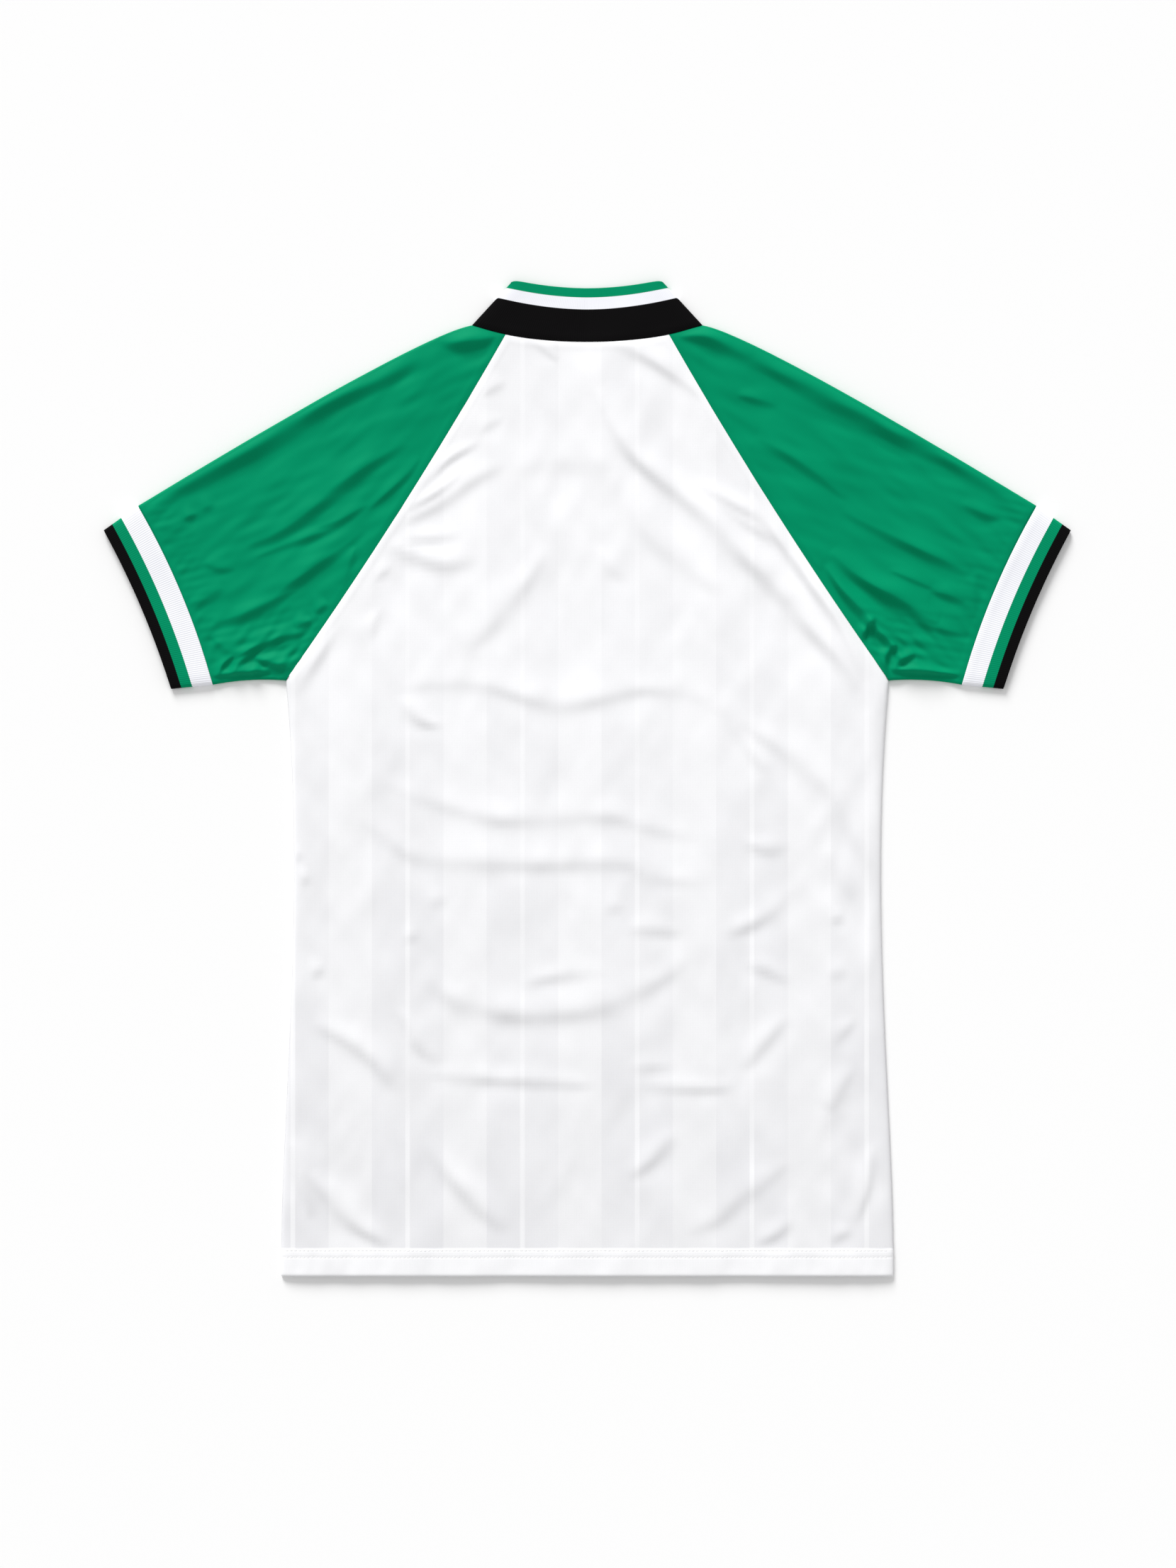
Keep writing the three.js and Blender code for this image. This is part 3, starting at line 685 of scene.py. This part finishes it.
def new_group(name, values, results):
    """A node group on the cloth's coordinates: itself, its arithmetic, its sockets, and x and y."""
    group = bpy.data.node_groups.new(name, "ShaderNodeTree")
    add_socket = group.interface.new_socket
    add_socket(name="Cloth", in_out="INPUT", socket_type="NodeSocketVector")
    for label, value in values.items():
        add_socket(name=label, in_out="INPUT", socket_type="NodeSocketFloat").default_value = value
    for label in results:
        add_socket(name=label, in_out="OUTPUT", socket_type="NodeSocketFloat")
    given = group.nodes.new("NodeGroupInput").outputs
    ends = group.nodes.new("NodeGroupOutput").inputs
    split = group.nodes.new("ShaderNodeSeparateXYZ")
    feed(group, split.inputs[0], given["Cloth"])
    return group, partial(math_node, group), given, ends, split.outputs["X"], split.outputs["Y"]


def knit_group():
    """Height and shade of small knitted loops, in columns and rows of the cloth's own plan."""
    values = {"Column": 0.0012, "Course": 0.0009}
    group, calc, given, ends, x, y = new_group("Knit loops", values, ("Height", "Shade"))
    column = calc("DIVIDE", x, given["Column"])
    leg = calc("ABSOLUTE", calc("SINE", calc("MULTIPLY", column, math.pi)))
    slant = calc("ADD", calc("DIVIDE", y, given["Course"]), calc("MULTIPLY", leg, LOOP_SLANT))
    loop = calc("SINE", calc("MULTIPLY", slant, 2 * math.pi))
    feed(group, ends["Height"], calc("ADD", leg, calc("MULTIPLY", loop, LOOP_SHARE)))
    feed(group, ends["Shade"], noise_value(group, given["Cloth"], scale=26, detail=3))
    return group


def stripes_group():
    """Masks of the body's tonal stripes, pairs of dull bands parted by a bright line, and of its hem."""
    values = {"Period": 0.09, "Start": 0.01, "Band": 0.03, "Line": 0.002, "Hem": 0.02}
    values |= {"Low": 0.05, "High": 0.48}
    results = ("Dull", "Bright", "Hem", "Upper")
    group, calc, given, ends, x, y = new_group("Tonal stripes", values, results)
    across = calc("WRAP", calc("SUBTRACT", x, given["Start"]), given["Period"], 0)
    half_line = calc("MULTIPLY", given["Line"], 0.5)
    centre = calc("ADD", given["Band"], half_line)
    off = calc("ABSOLUTE", calc("SUBTRACT", across, centre))
    bright = within(calc, half_line, off, LINE_BLUR)
    dull = calc("SUBTRACT", within(calc, centre, off, BAND_BLUR), bright, clamp=True)
    hem = within(calc, given["Hem"], y, HEM_BLUR)
    upper = map_range(group, y, given["Low"], given["High"])
    patches = map_range(group, noise_value(group, given["Cloth"], scale=9, detail=2), *STRIPE_FADE)
    off_hem = calc("MULTIPLY", patches, calc("SUBTRACT", 1, hem))
    fading = calc("SUBTRACT", 1, calc("MULTIPLY", upper, UPPER_FADE))
    strength = calc("MULTIPLY", off_hem, fading)
    masks = (calc("MULTIPLY", dull, strength), calc("MULTIPLY", bright, strength), hem, upper)
    for label, mask in zip(results, masks):
        feed(group, ends[label], mask)
    return group


def bands_group():
    """Masks of a rib piece out to its tip stripe and out to its middle one, from its finished edge."""
    values = {"Tip": 0.007, "Middle": 0.017, "Stitch": 0.0015, "Edge": 0.0003}
    group, calc, given, ends, x, y = new_group("Rib bands", values, ("Tip", "Middle"))
    tooth = calc("PINGPONG", calc("DIVIDE", x, given["Stitch"]), 0.5)
    depth = calc("ADD", y, calc("MULTIPLY", tooth, RIB_TOOTH))
    for label in ("Tip", "Middle"):
        feed(group, ends[label], within(calc, given[label], depth, given["Edge"]))
    return group


def ribs_group():
    """Height of the upright ribs of a flat-knit piece."""
    group, calc, given, ends, x, _ = new_group("Upright ribs", {"Rib": 0.0022}, ("Height",))
    turn = calc("DIVIDE", x, given["Rib"])
    wave = calc("SINE", calc("MULTIPLY", turn, math.pi))
    feed(group, ends["Height"], calc("ABSOLUTE", wave))
    return group


def place_group(tree, name, make, cloth, **values):
    """A shared group in a material, fed with the cloth's coordinates and this material's values."""
    node = tree.nodes.new("ShaderNodeGroup")
    node.node_tree = bpy.data.node_groups.get(name) or make()
    feed(tree, node.inputs["Cloth"], cloth)
    for label, value in values.items():
        node.inputs[label.capitalize()].default_value = value
    return node.outputs


def mix_colour(tree, mask, first, second, mode="MIX"):
    node = tree.nodes.new("ShaderNodeMix")
    node.data_type = "RGBA"
    node.blend_type = mode
    for number, value in ((0, mask), (6, first), (7, second)):
        feed(tree, node.inputs[number], value)
    return node.outputs[2]


def cloth_material(name, roughness, sheen, sheen_tint, specular):
    """A fabric's material, its tree, its shader's inputs and the cloth's coordinates."""
    material = bpy.data.materials.new(name)
    material.use_nodes = True
    tree = material.node_tree
    shader = tree.nodes["Principled BSDF"].inputs
    shader["Roughness"].default_value = roughness
    shader["Sheen Weight"].default_value = sheen
    shader["Sheen Roughness"].default_value = SHEEN_ROUGHNESS
    shader["Sheen Tint"].default_value = (*sheen_tint, 1)
    shader["Specular IOR Level"].default_value = specular
    uv = tree.nodes.new("ShaderNodeUVMap")
    uv.uv_map = "cloth"
    return material, tree, shader, uv.outputs["UV"]


def finish_surface(tree, shader, colour, knit, height, strength):
    """Shades the colour a little with the yarn's unevenness, and raises the knit."""
    grey = tree.nodes.new("ShaderNodeCombineColor")
    uneven = map_range(tree, knit["Shade"], *YARN_SHADE)
    for socket in grey.inputs:
        feed(tree, socket, uneven)
    feed(tree, shader["Base Color"], mix_colour(tree, 1, colour, grey.outputs[0], "MULTIPLY"))
    bump = tree.nodes.new("ShaderNodeBump")
    bump.inputs["Strength"].default_value = strength
    bump.inputs["Distance"].default_value = KNIT_DEPTH
    feed(tree, bump.inputs["Height"], height)
    feed(tree, shader["Normal"], bump.outputs["Normal"])


def body_material(name, settings):
    material, tree, shader, cloth = cloth_material(
        name, roughness=BODY_ROUGHNESS, sheen=0.03, sheen_tint=(1, 1, 1), specular=0.15
    )
    sizes = {part: getattr(settings, f"stripe_{part}") for part in ("period", "band", "line")}
    sizes |= {"start": STRIPE_START * MM, "hem": HEM_DEPTH * MM}
    stripes = place_group(tree, "Tonal stripes", stripes_group, cloth, **sizes)
    knit = place_group(tree, "Knit loops", knit_group, cloth, **JERSEY_KNIT)
    plain, dull = tuple(settings.body_plain), tuple(settings.body_dull)
    bright = tuple(settings.body_bright)
    colour = mix_colour(tree, stripes["Upper"], plain, bright)
    colour = mix_colour(tree, stripes["Dull"], colour, dull)
    line = math_node(tree, "MULTIPLY", stripes["Bright"], LINE_WHITENESS)
    colour = mix_colour(tree, line, colour, bright)
    hem = math_node(tree, "MULTIPLY", stripes["Hem"], HEM_WHITENESS)
    colour = mix_colour(tree, hem, colour, bright)
    rough = math_node(tree, "MULTIPLY_ADD", stripes["Dull"], DULL_ROUGHENING, BODY_ROUGHNESS)
    feed(tree, shader["Roughness"], rough)
    finish_surface(tree, shader, colour, knit, knit["Height"], strength=0.25)
    return material


def sleeve_material(name, settings):
    material, tree, shader, cloth = cloth_material(
        name, roughness=0.5, sheen=0.02, sheen_tint=(0.1, 0.9, 0.6), specular=0.03
    )
    knit = place_group(tree, "Knit loops", knit_group, cloth, **JERSEY_KNIT)
    finish_surface(tree, shader, tuple(settings.green), knit, knit["Height"], strength=0.3)
    return material


def rib_material(name, tip, middle, base, tip_width, middle_width):
    material, tree, shader, cloth = cloth_material(
        name, roughness=0.8, sheen=0.01, sheen_tint=(0.6, 0.6, 0.6), specular=0.05
    )
    reach = {"tip": tip_width * MM, "middle": (tip_width + middle_width) * MM}
    bands = place_group(tree, "Rib bands", bands_group, cloth, **reach)
    knit = place_group(tree, "Knit loops", knit_group, cloth, **RIB_KNIT)
    ribs = place_group(tree, "Upright ribs", ribs_group, cloth, rib=RIB_PITCH)
    colour = mix_colour(tree, bands["Middle"], tuple(base), tuple(middle))
    colour = mix_colour(tree, bands["Tip"], colour, tuple(tip))
    loops = math_node(tree, "MULTIPLY", knit["Height"], RIB_LOOPS)
    height = math_node(tree, "ADD", ribs["Height"], loops)
    finish_surface(tree, shader, colour, knit, height, strength=0.45)
    return material


def thread_material(name):
    material, tree, shader, _ = cloth_material(
        name, roughness=0.45, sheen=0.1, sheen_tint=(1, 1, 1), specular=0.4
    )
    twist = tree.nodes.new("ShaderNodeTexWave")
    twist.bands_direction = "DIAGONAL"
    twist.inputs["Scale"].default_value = THREAD_TWIST
    place = tree.nodes.new("ShaderNodeTexCoord").outputs["Object"]
    feed(tree, twist.inputs["Vector"], place)
    colour = mix_colour(tree, twist.outputs["Fac"], *THREAD_COLOURS)
    feed(tree, shader["Base Color"], colour)
    return material


def floor_material():
    material = bpy.data.materials.new("Pale floor")
    material.use_nodes = True
    shader = material.node_tree.nodes["Principled BSDF"].inputs
    shader["Base Color"].default_value = FLOOR_COLOUR
    shader["Roughness"].default_value = FLOOR_ROUGHNESS
    return material


# The body


def stitch_groove(rise, row):
    """Depth that a row of stitches draws into the hem."""
    return STITCH_GROOVE * np.exp(-(((rise - row) / GROOVE_HALF) ** 2))


def back_top(points, strength):
    """Height of the back's outer face at plan points, with its rolled sides and its stitched hem."""
    top = upper_level(points, SOLID_CLOTH, BODY_CREASES, strength) + SOLID_CLOTH / 2
    to_side = nearest(CLOSED_EDGES[0], half_of(points))[0]
    rise = points[:, 1]
    side_drop = SIDE_DROP * (1 - rounded_edge(to_side, SIDE_ROLL))
    top -= side_drop + HEM_DROP * (1 - rounded_edge(rise, HEM_ROLL))
    on_hem = 1 - smoothstep(rise, HEM_DEPTH - HEM_FALL, HEM_DEPTH + HEM_FALL)
    pucker = sum(a * np.sin(2 * np.pi * points[:, 0] / w + p) for a, w, p in HEM_PUCKERS)
    top += on_hem * (HEM_STEP + pucker * smoothstep(rise, 0, HEM_FLAT))
    for row in HEM_STITCH_RISES:
        top -= stitch_groove(rise, row)
    return top


def make_back(settings, material):
    columns, hem_rows, side_rows, raglan_rows = BACK_STEPS
    hem = np.linspace(*HEM_ROWS, hem_rows)
    side = mix(BACK_SIDE_START, ARMPIT[1], eased(side_rows, crowding=0.15))
    low = np.concatenate([BACK_EDGE_ROWS, hem, side])
    mesh, points = body_grid(low, raglan_rows, back_raglan, columns, back_neck)
    heights = back_top(points, settings.crease_strength)
    back = finish_cloth(
        "back", mesh, points, heights, points, material, "back_panel", settings.wall
    )


def front_neck_rise(x):
    """Rise of the front neck seam at x."""
    line = front_neck(np.linspace(FRONT_RAGLAN_SHARE, 1, NECK_SAMPLES))[::-1]
    return np.interp(np.abs(x), line[:, 0], line[:, 1])


def make_front(settings, material):
    columns, hem_rows, side_rows, raglan_rows = FRONT_STEPS
    hem = np.linspace(*HEM_ROWS, hem_rows)
    low = np.concatenate([FRONT_EDGE_ROWS, hem, np.linspace(FRONT_SIDE_START, ARMPIT[1], side_rows)])
    mesh, points = body_grid(low, raglan_rows, front_raglan, columns, front_neck_rise)
    rise = points[:, 1]
    to_side = np.minimum(nearest(CLOSED_EDGES[0], half_of(points))[0], rise)
    under = FRONT_ROLL * (1 - rounded_edge(to_side, SIDE_ROLL))
    for row in HEM_STITCH_RISES:
        under = np.maximum(under, stitch_groove(rise, row))
    under = np.maximum(under, under_level(points, BODY_CREASES, settings.crease_strength))
    front = finish_cloth(
        "front", mesh, points, under, points, material, "front_panel", settings.wall,
        flip=True,
    )


def hem_stitches(settings, material):
    """Two rows of short stitches along the back's hem, joined in one mesh."""
    reach = HEM_CORNER[0] - STITCH_MARGIN
    count = int(2 * reach / STITCH_PITCH)
    along = [-reach + (i + 0.5) * STITCH_PITCH for i in range(count)]
    centres = np.array([(x, rise) for rise in HEM_STITCH_RISES for x in along])
    top = partial(back_top, strength=settings.crease_strength)
    start, end = (top(centres + [shift, 0]) for shift in (-STITCH_LENGTH / 2, STITCH_LENGTH / 2))
    slopes = np.arctan2(end - start, STITCH_LENGTH)
    half_width = STITCH_WIDTH / 2 * MM
    size = Matrix.Diagonal((STITCH_LENGTH / 2 * MM, half_width, half_width, 1))
    mesh = bmesh.new()
    for place, slope in zip(to_frame(centres, top(centres) + STITCH_LIFT), slopes):
        turned = Matrix.Translation(place) @ Matrix.Rotation(-slope, 4, "Y")
        bmesh.ops.create_icosphere(mesh, subdivisions=1, radius=1, matrix=turned @ size)
    piece = add_piece("hem_stitches", mesh, material)
    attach(piece, BODY)


# The folded tubes: sleeves, cuffs and collar


class FoldedTube:
    """A flattened tube between two folded edges, with an upper and a lower layer of its own."""

    def __init__(self, upper, lower, folds, wall, creases, side=1, strength=1.0):
        self.folds, self.wall, self.creases = folds, wall, creases
        self.side, self.strength = side, strength
        self.over = self.surface(*upper)
        self.under = self.surface(*lower)

    def inset(self, edge):
        """An edge that stops one fold reach before each folded edge."""
        t = np.linspace(0, 1, EDGE_SAMPLES)
        points = edge(t)
        far = [nearest(line_of(fold), points)[0] >= FOLD_REACH for fold in self.folds]
        low = t[np.argmax(far[0])]
        high = t[len(t) - 1 - np.argmax(far[1][::-1])]
        return lambda t: edge(np.clip(t, low, high))

    def surface(self, start, end):
        start, end = self.inset(start), self.inset(end)

        def straight(t, s):
            return mix(start(t), end(t), s[:, None])

        def drawn_in(i, s):
            at_end = np.full(len(s), float(i))
            fold = self.folds[i]
            slip = mix(start(float(i)) - fold(0.0), end(float(i)) - fold(1.0), s[:, None])
            return fold(s) + slip - straight(at_end, s)

        def at(t, s):
            return straight(t, s) + drawn_in(0, s) * (1 - t)[:, None] + drawn_in(1, s) * t[:, None]

        return at

    def level(self, points):
        """Height of the upper layer's outer face, for plan points of the right-hand half."""
        turned = points * [self.side, 1]
        return upper_level(turned, self.wall, self.creases, self.strength) + self.wall / 2

    def places(self, around, s):
        """Plan points and heights for (layer, value) rows: over and under by t, a turn by its angle."""
        points, heights = np.zeros((len(s), 2)), np.zeros(len(s))
        kind, value = around[:, 0], around[:, 1]
        over = kind == OVER
        points[over] = self.over(value[over], s[over])
        heights[over] = self.level(points[over])
        under = kind == UNDER
        points[under] = self.under(value[under], s[under])
        heights[under] = under_level(points[under] * [self.side, 1], self.creases, self.strength)
        for i, turn in enumerate((TURN_LOW, TURN_TOP)):
            here = kind == turn
            at_end = np.full(here.sum(), float(i))
            top = self.over(at_end, s[here])
            low = self.under(at_end, s[here])
            angle = value[here]
            base = mix(top, low, ((1 - np.cos(angle)) / 2)[:, None])
            points[here] = mix(base, self.folds[i](s[here]), np.sin(angle)[:, None])
            heights[here] = self.level(top) * (1 + np.cos(angle)) / 2
        return points * [self.side, 1], heights

    def grid(self, around, along):
        """A grid mesh round the tube, with its column and row numbers, plan points and heights."""
        mesh, column, row = cloth_grid(len(around), len(along))
        return mesh, column, row, *self.places(around[column], along[row])

    def rib_grid(self, over_steps, under_steps, rows, share):
        """A rib piece's grid, with lengths round it at a share of the way to its finished edge."""
        around = round_the_tube(np.linspace(0, 1, over_steps), np.linspace(0, 1, under_steps))
        along = eased(rows, crowding=0.5)
        mesh, column, row, points, heights = self.grid(around, along)
        ring, _ = self.places(around, np.full(len(around), share))
        lengths = np.concatenate([[0], np.cumsum(np.hypot(*np.diff(ring, axis=0).T))])
        return mesh, around[column], along[row], points, heights, lengths[column]


OVER, TURN_TOP, UNDER, TURN_LOW = range(4)


def round_the_tube(over_places, under_places):
    """Rows of (layer, value) once round a tube, with the first row again at the end."""
    angles = np.linspace(0, np.pi, TURN_STEPS + 1)[1:-1]
    rows = [(OVER, t) for t in over_places]
    rows += [(TURN_TOP, a) for a in angles]
    rows += [(UNDER, t) for t in under_places[::-1]]
    rows += [(TURN_LOW, a) for a in angles[::-1]]
    return np.array(rows + rows[:1], float)


def head_places(raglan_steps, neck_steps):
    """Places along a sleeve's head, with one at the corner between raglan and neck."""
    raglan = np.linspace(0, HEAD_SHARE, raglan_steps + 1)
    return np.concatenate([raglan, np.linspace(HEAD_SHARE, 1, neck_steps + 1)[1:]])


def sleeve_head(raglan, neck):
    """A sleeve's edge at the body: up the raglan, then along the neck."""

    def at(t):
        t = np.asarray(t, float)
        lower = raglan(np.clip(t / HEAD_SHARE, 0, 1))
        upper = neck(np.clip((t - HEAD_SHARE) / (1 - HEAD_SHARE), 0, 1))
        return np.where((t <= HEAD_SHARE)[..., None], lower, upper)

    return at


def make_sleeve(side_name, side, settings, material):
    def back_part(t):
        return on_back_neck(mix(BACK_RAGLAN_TOP, NECK_SIDE[0], t))

    def front_part(t):
        return front_neck(FRONT_RAGLAN_SHARE * (1 - t))

    tube = FoldedTube(
        (sleeve_head(back_raglan, back_part), cuff_seam),
        (sleeve_head(front_raglan, front_part), cuff_seam),
        (underarm_fold, shoulder_fold),
        SOLID_CLOTH,
        SLEEVE_CREASES,
        side,
        settings.crease_strength,
    )
    around = round_the_tube(head_places(*SLEEVE_STEPS[:2]), head_places(*SLEEVE_STEPS[2:4]))
    mesh, _, _, points, heights = tube.grid(around, eased(SLEEVE_STEPS[4], crowding=0.4))
    forward = np.array([side * SLEEVE_GRAIN[0], SLEEVE_GRAIN[1]])
    cloth = np.column_stack([points @ [forward[1], -forward[0]], points @ forward])
    sleeve = finish_cloth(
        f"{side_name}_sleeve", mesh, points, heights, cloth, material,
        f"sleeve_{side_name}", settings.wall, closed=True,
    )


def make_cuff(side_name, side, settings, material):
    edges = (cuff_seam, cuff_edge)
    folds = (cuff_fold_low, cuff_fold_top)
    tube = FoldedTube(edges, edges, folds, SOLID_RIB, [], side, settings.crease_strength)
    mesh, _, along, points, heights, lengths = tube.rib_grid(*CUFF_STEPS, share=1.0)
    cloth = np.column_stack([lengths, CUFF_DEPTH * (1 - along)])
    cuff = finish_cloth(
        f"{side_name}_cuff", mesh, points, heights, cloth, material,
        f"cuff_{side_name}", settings.rib_wall, closed=True,
    )


def collar_top(t):
    """The collar's top edge along the back, with its rounded corners."""
    x = mix(-COLLAR_FOLD_END[0], COLLAR_FOLD_END[0], np.asarray(t, float))
    curve = COLLAR_TOP_CURVE * (x / COLLAR_FOLD_END[0]) ** 2
    drop = COLLAR_CORNER_DROP * np.exp(-(COLLAR_FOLD_END[0] - np.abs(x)) / COLLAR_CORNER_LENGTH)
    return np.stack([x, COLLAR_TOP_RISE + curve - drop], axis=-1)


def both_sides(curve):
    """A curve from the side to the centre, run from the left fold to the right one."""

    def at(t):
        t = np.asarray(t, float)
        sign = np.where(t < 0.5, -1.0, 1.0)
        return curve(1 - np.abs(2 * t - 1)) * np.stack([sign, np.ones_like(sign)], axis=-1)

    return at


def make_collar(settings, material):
    def neck_seam(t):
        return on_back_neck(mix(-NECK_SIDE[0], NECK_SIDE[0], np.asarray(t, float)))

    def mirrored_fold(s):
        return collar_fold(s) * [-1, 1]

    tube = FoldedTube(
        (neck_seam, collar_top),
        (both_sides(front_neck), both_sides(collar_inner)),
        (mirrored_fold, collar_fold),
        SOLID_RIB,
        [],
    )
    mesh, around, along, points, heights, lengths = tube.rib_grid(*COLLAR_STEPS, share=0.5)
    kind, value = around.T
    turned = np.select([kind == OVER, kind == UNDER], [0.0, 1.0], (1 - np.cos(value)) / 2)
    edge_curve = COLLAR_TOP_CURVE * (points[:, 0] / COLLAR_FOLD_END[0]) ** 2
    over_tip = COLLAR_TOP_RISE + edge_curve - points[:, 1]
    from_tip = mix(over_tip, COLLAR_FRONT_DEPTH * (1 - along), turned)
    cloth = np.column_stack([lengths, from_tip])
    collar = finish_cloth(
        "collar_band", mesh, points, heights, cloth, material, "collar",
        settings.rib_wall, closed=True,
    )


# The stage


def make_stage():
    scene = bpy.context.scene
    mesh = bmesh.new()
    bmesh.ops.create_grid(mesh, x_segments=1, y_segments=1, size=FLOOR_HALF)
    add_piece("floor", mesh, floor_material())
    data = bpy.data.lights.new("key", "SUN")
    data.angle = KEY_SPREAD
    data.energy = KEY_LIGHT
    light = bpy.data.objects.new("key", data)
    light.location = KEY_FROM
    light.rotation_euler = (-Vector(KEY_FROM)).to_track_quat("-Z", "Y").to_euler()
    scene.collection.objects.link(light)
    world = bpy.data.worlds.new("Soft room")
    world.use_nodes = True
    sky = world.node_tree.nodes["Background"].inputs
    sky["Color"].default_value = (1, 1, 1, 1)
    sky["Strength"].default_value = WORLD_LIGHT
    scene.world = world
    scene.view_settings.view_transform = "Standard"


def make_camera():
    """Straight above, with the photo's frame of 1659 by 2212 at its scale."""
    data = bpy.data.cameras.new("camera")
    data.sensor_width = CAMERA_SENSOR
    frame_height = PHOTO_SIZE[1] * PHOTO_SCALE * MM
    data.lens = CAMERA_SENSOR * CAMERA_HEIGHT / frame_height
    camera = bpy.data.objects.new("camera", data)
    camera.location = (
        (PHOTO_SIZE[0] / 2 - PHOTO_ORIGIN[0]) * PHOTO_SCALE * MM,
        HEM_Y + (PHOTO_ORIGIN[1] - PHOTO_SIZE[1] / 2) * PHOTO_SCALE * MM,
        CAMERA_HEIGHT,
    )
    bpy.context.scene.collection.objects.link(camera)
    bpy.context.scene.camera = camera


# The add-on


def colour_setting(name, description, levels):
    return bpy.props.FloatVectorProperty(
        name=name, description=description, subtype="COLOR", size=3, min=0, max=1, default=srgb(*levels)
    )


def number_setting(name, description, default, **limits):
    return bpy.props.FloatProperty(name=name, description=description, default=default, **limits)


class JerseySettings(bpy.types.PropertyGroup):
    """Sizes and colours of the jersey"""

    body_plain: colour_setting("Body", "Colour of the body's plain cloth", (241, 241, 243))
    body_dull: colour_setting("Dull stripe", "Colour of the body's dull bands", (233, 233, 236))
    body_bright: colour_setting("Bright line", "Colour of the body's bright lines", (250, 250, 252))
    green: colour_setting("Green", "Colour of the sleeves and of the green stripes", (0, 143, 99))
    black: colour_setting("Black", "Colour of the black stripes", (11, 10, 11))
    white: colour_setting("White", "Colour of the white stripes", (246, 247, 253))
    stripe_period: number_setting(
        "Stripe repeat", "Width of one repeat of the body's stripes", 0.0905, min=0.01, unit="LENGTH"
    )
    stripe_band: number_setting("Dull band", "Width of a dull band", 0.0265, min=0.002, unit="LENGTH")
    stripe_line: number_setting("Line", "Width of a bright line", 0.0036, min=0.0005, unit="LENGTH")
    crease_strength: number_setting(
        "Creases", "Height of the creases, as a share of those shown", 1.0, min=0, max=1.5
    )
    wall: number_setting("Cloth", "Thickness of the cloth in millimetres", 0.9, min=0.3, max=1.2)
    rib_wall: number_setting("Rib", "Thickness of the rib pieces in millimetres", 1.4, min=0.5, max=1.8)


def made_once(name, make, *values):
    return bpy.data.materials.get(name) or make(name, *values)


class JERSEY_OT_body(bpy.types.Operator):
    """Build the back and the front"""

    bl_idname = "jersey.body"
    bl_label = "Body"

    def execute(self, context):
        settings = context.scene.jersey
        material = made_once("White jersey", body_material, settings)
        make_back(settings, material)
        make_front(settings, material)
        return {"FINISHED"}


class JERSEY_OT_sleeves(bpy.types.Operator):
    """Build the two raglan sleeves"""

    bl_idname = "jersey.sleeves"
    bl_label = "Sleeves"

    def execute(self, context):
        settings = context.scene.jersey
        material = made_once("Green jersey", sleeve_material, settings)
        for side_name, side in SIDES:
            make_sleeve(side_name, side, settings, material)
        return {"FINISHED"}


class JERSEY_OT_cuffs(bpy.types.Operator):
    """Build the two striped cuffs"""

    bl_idname = "jersey.cuffs"
    bl_label = "Cuffs"

    def execute(self, context):
        settings = context.scene.jersey
        colours = (settings.black, settings.green, settings.white)
        material = made_once("Cuff rib", rib_material, *colours, CUFF_TIP, CUFF_MIDDLE)
        for side_name, side in SIDES:
            make_cuff(side_name, side, settings, material)
        return {"FINISHED"}


class JERSEY_OT_collar(bpy.types.Operator):
    """Build the striped collar"""

    bl_idname = "jersey.collar"
    bl_label = "Collar"

    def execute(self, context):
        settings = context.scene.jersey
        colours = (settings.green, settings.white, settings.black)
        material = made_once("Collar rib", rib_material, *colours, COLLAR_TIP, COLLAR_MIDDLE)
        make_collar(settings, material)
        return {"FINISHED"}


class JERSEY_OT_stitches(bpy.types.Operator):
    """Sew the hem"""

    bl_idname = "jersey.stitches"
    bl_label = "Stitches"

    def execute(self, context):
        hem_stitches(context.scene.jersey, made_once("White thread", thread_material))
        return {"FINISHED"}


class JERSEY_OT_stage(bpy.types.Operator):
    """Set the floor, the lights and the camera"""

    bl_idname = "jersey.stage"
    bl_label = "Stage"

    def execute(self, context):
        make_stage()
        make_camera()
        return {"FINISHED"}


class JERSEY_PT_panel(bpy.types.Panel):
    """Jersey tools"""

    bl_label = "Jersey"
    bl_space_type = "VIEW_3D"
    bl_region_type = "UI"
    bl_category = "Jersey"

    def draw(self, context):
        for name in JerseySettings.__annotations__:
            self.layout.prop(context.scene.jersey, name)
        for operator in OPERATORS:
            self.layout.operator(operator.bl_idname)


OPERATORS = (
    JERSEY_OT_stage,
    JERSEY_OT_stitches,
    JERSEY_OT_body,
    JERSEY_OT_sleeves,
    JERSEY_OT_cuffs,
    JERSEY_OT_collar,
)
CLASSES = (JerseySettings, *OPERATORS, JERSEY_PT_panel)


def register():
    for each in CLASSES:
        bpy.utils.register_class(each)
    bpy.types.Scene.jersey = bpy.props.PointerProperty(type=JerseySettings)


def unregister():
    del bpy.types.Scene.jersey
    for each in reversed(CLASSES):
        bpy.utils.unregister_class(each)


def main():
    register()
    bpy.ops.jersey.stage()
    bpy.ops.jersey.stitches()
    bpy.ops.jersey.body()
    bpy.ops.jersey.sleeves()
    bpy.ops.jersey.cuffs()
    bpy.ops.jersey.collar()


if __name__ == "__main__":
    main()
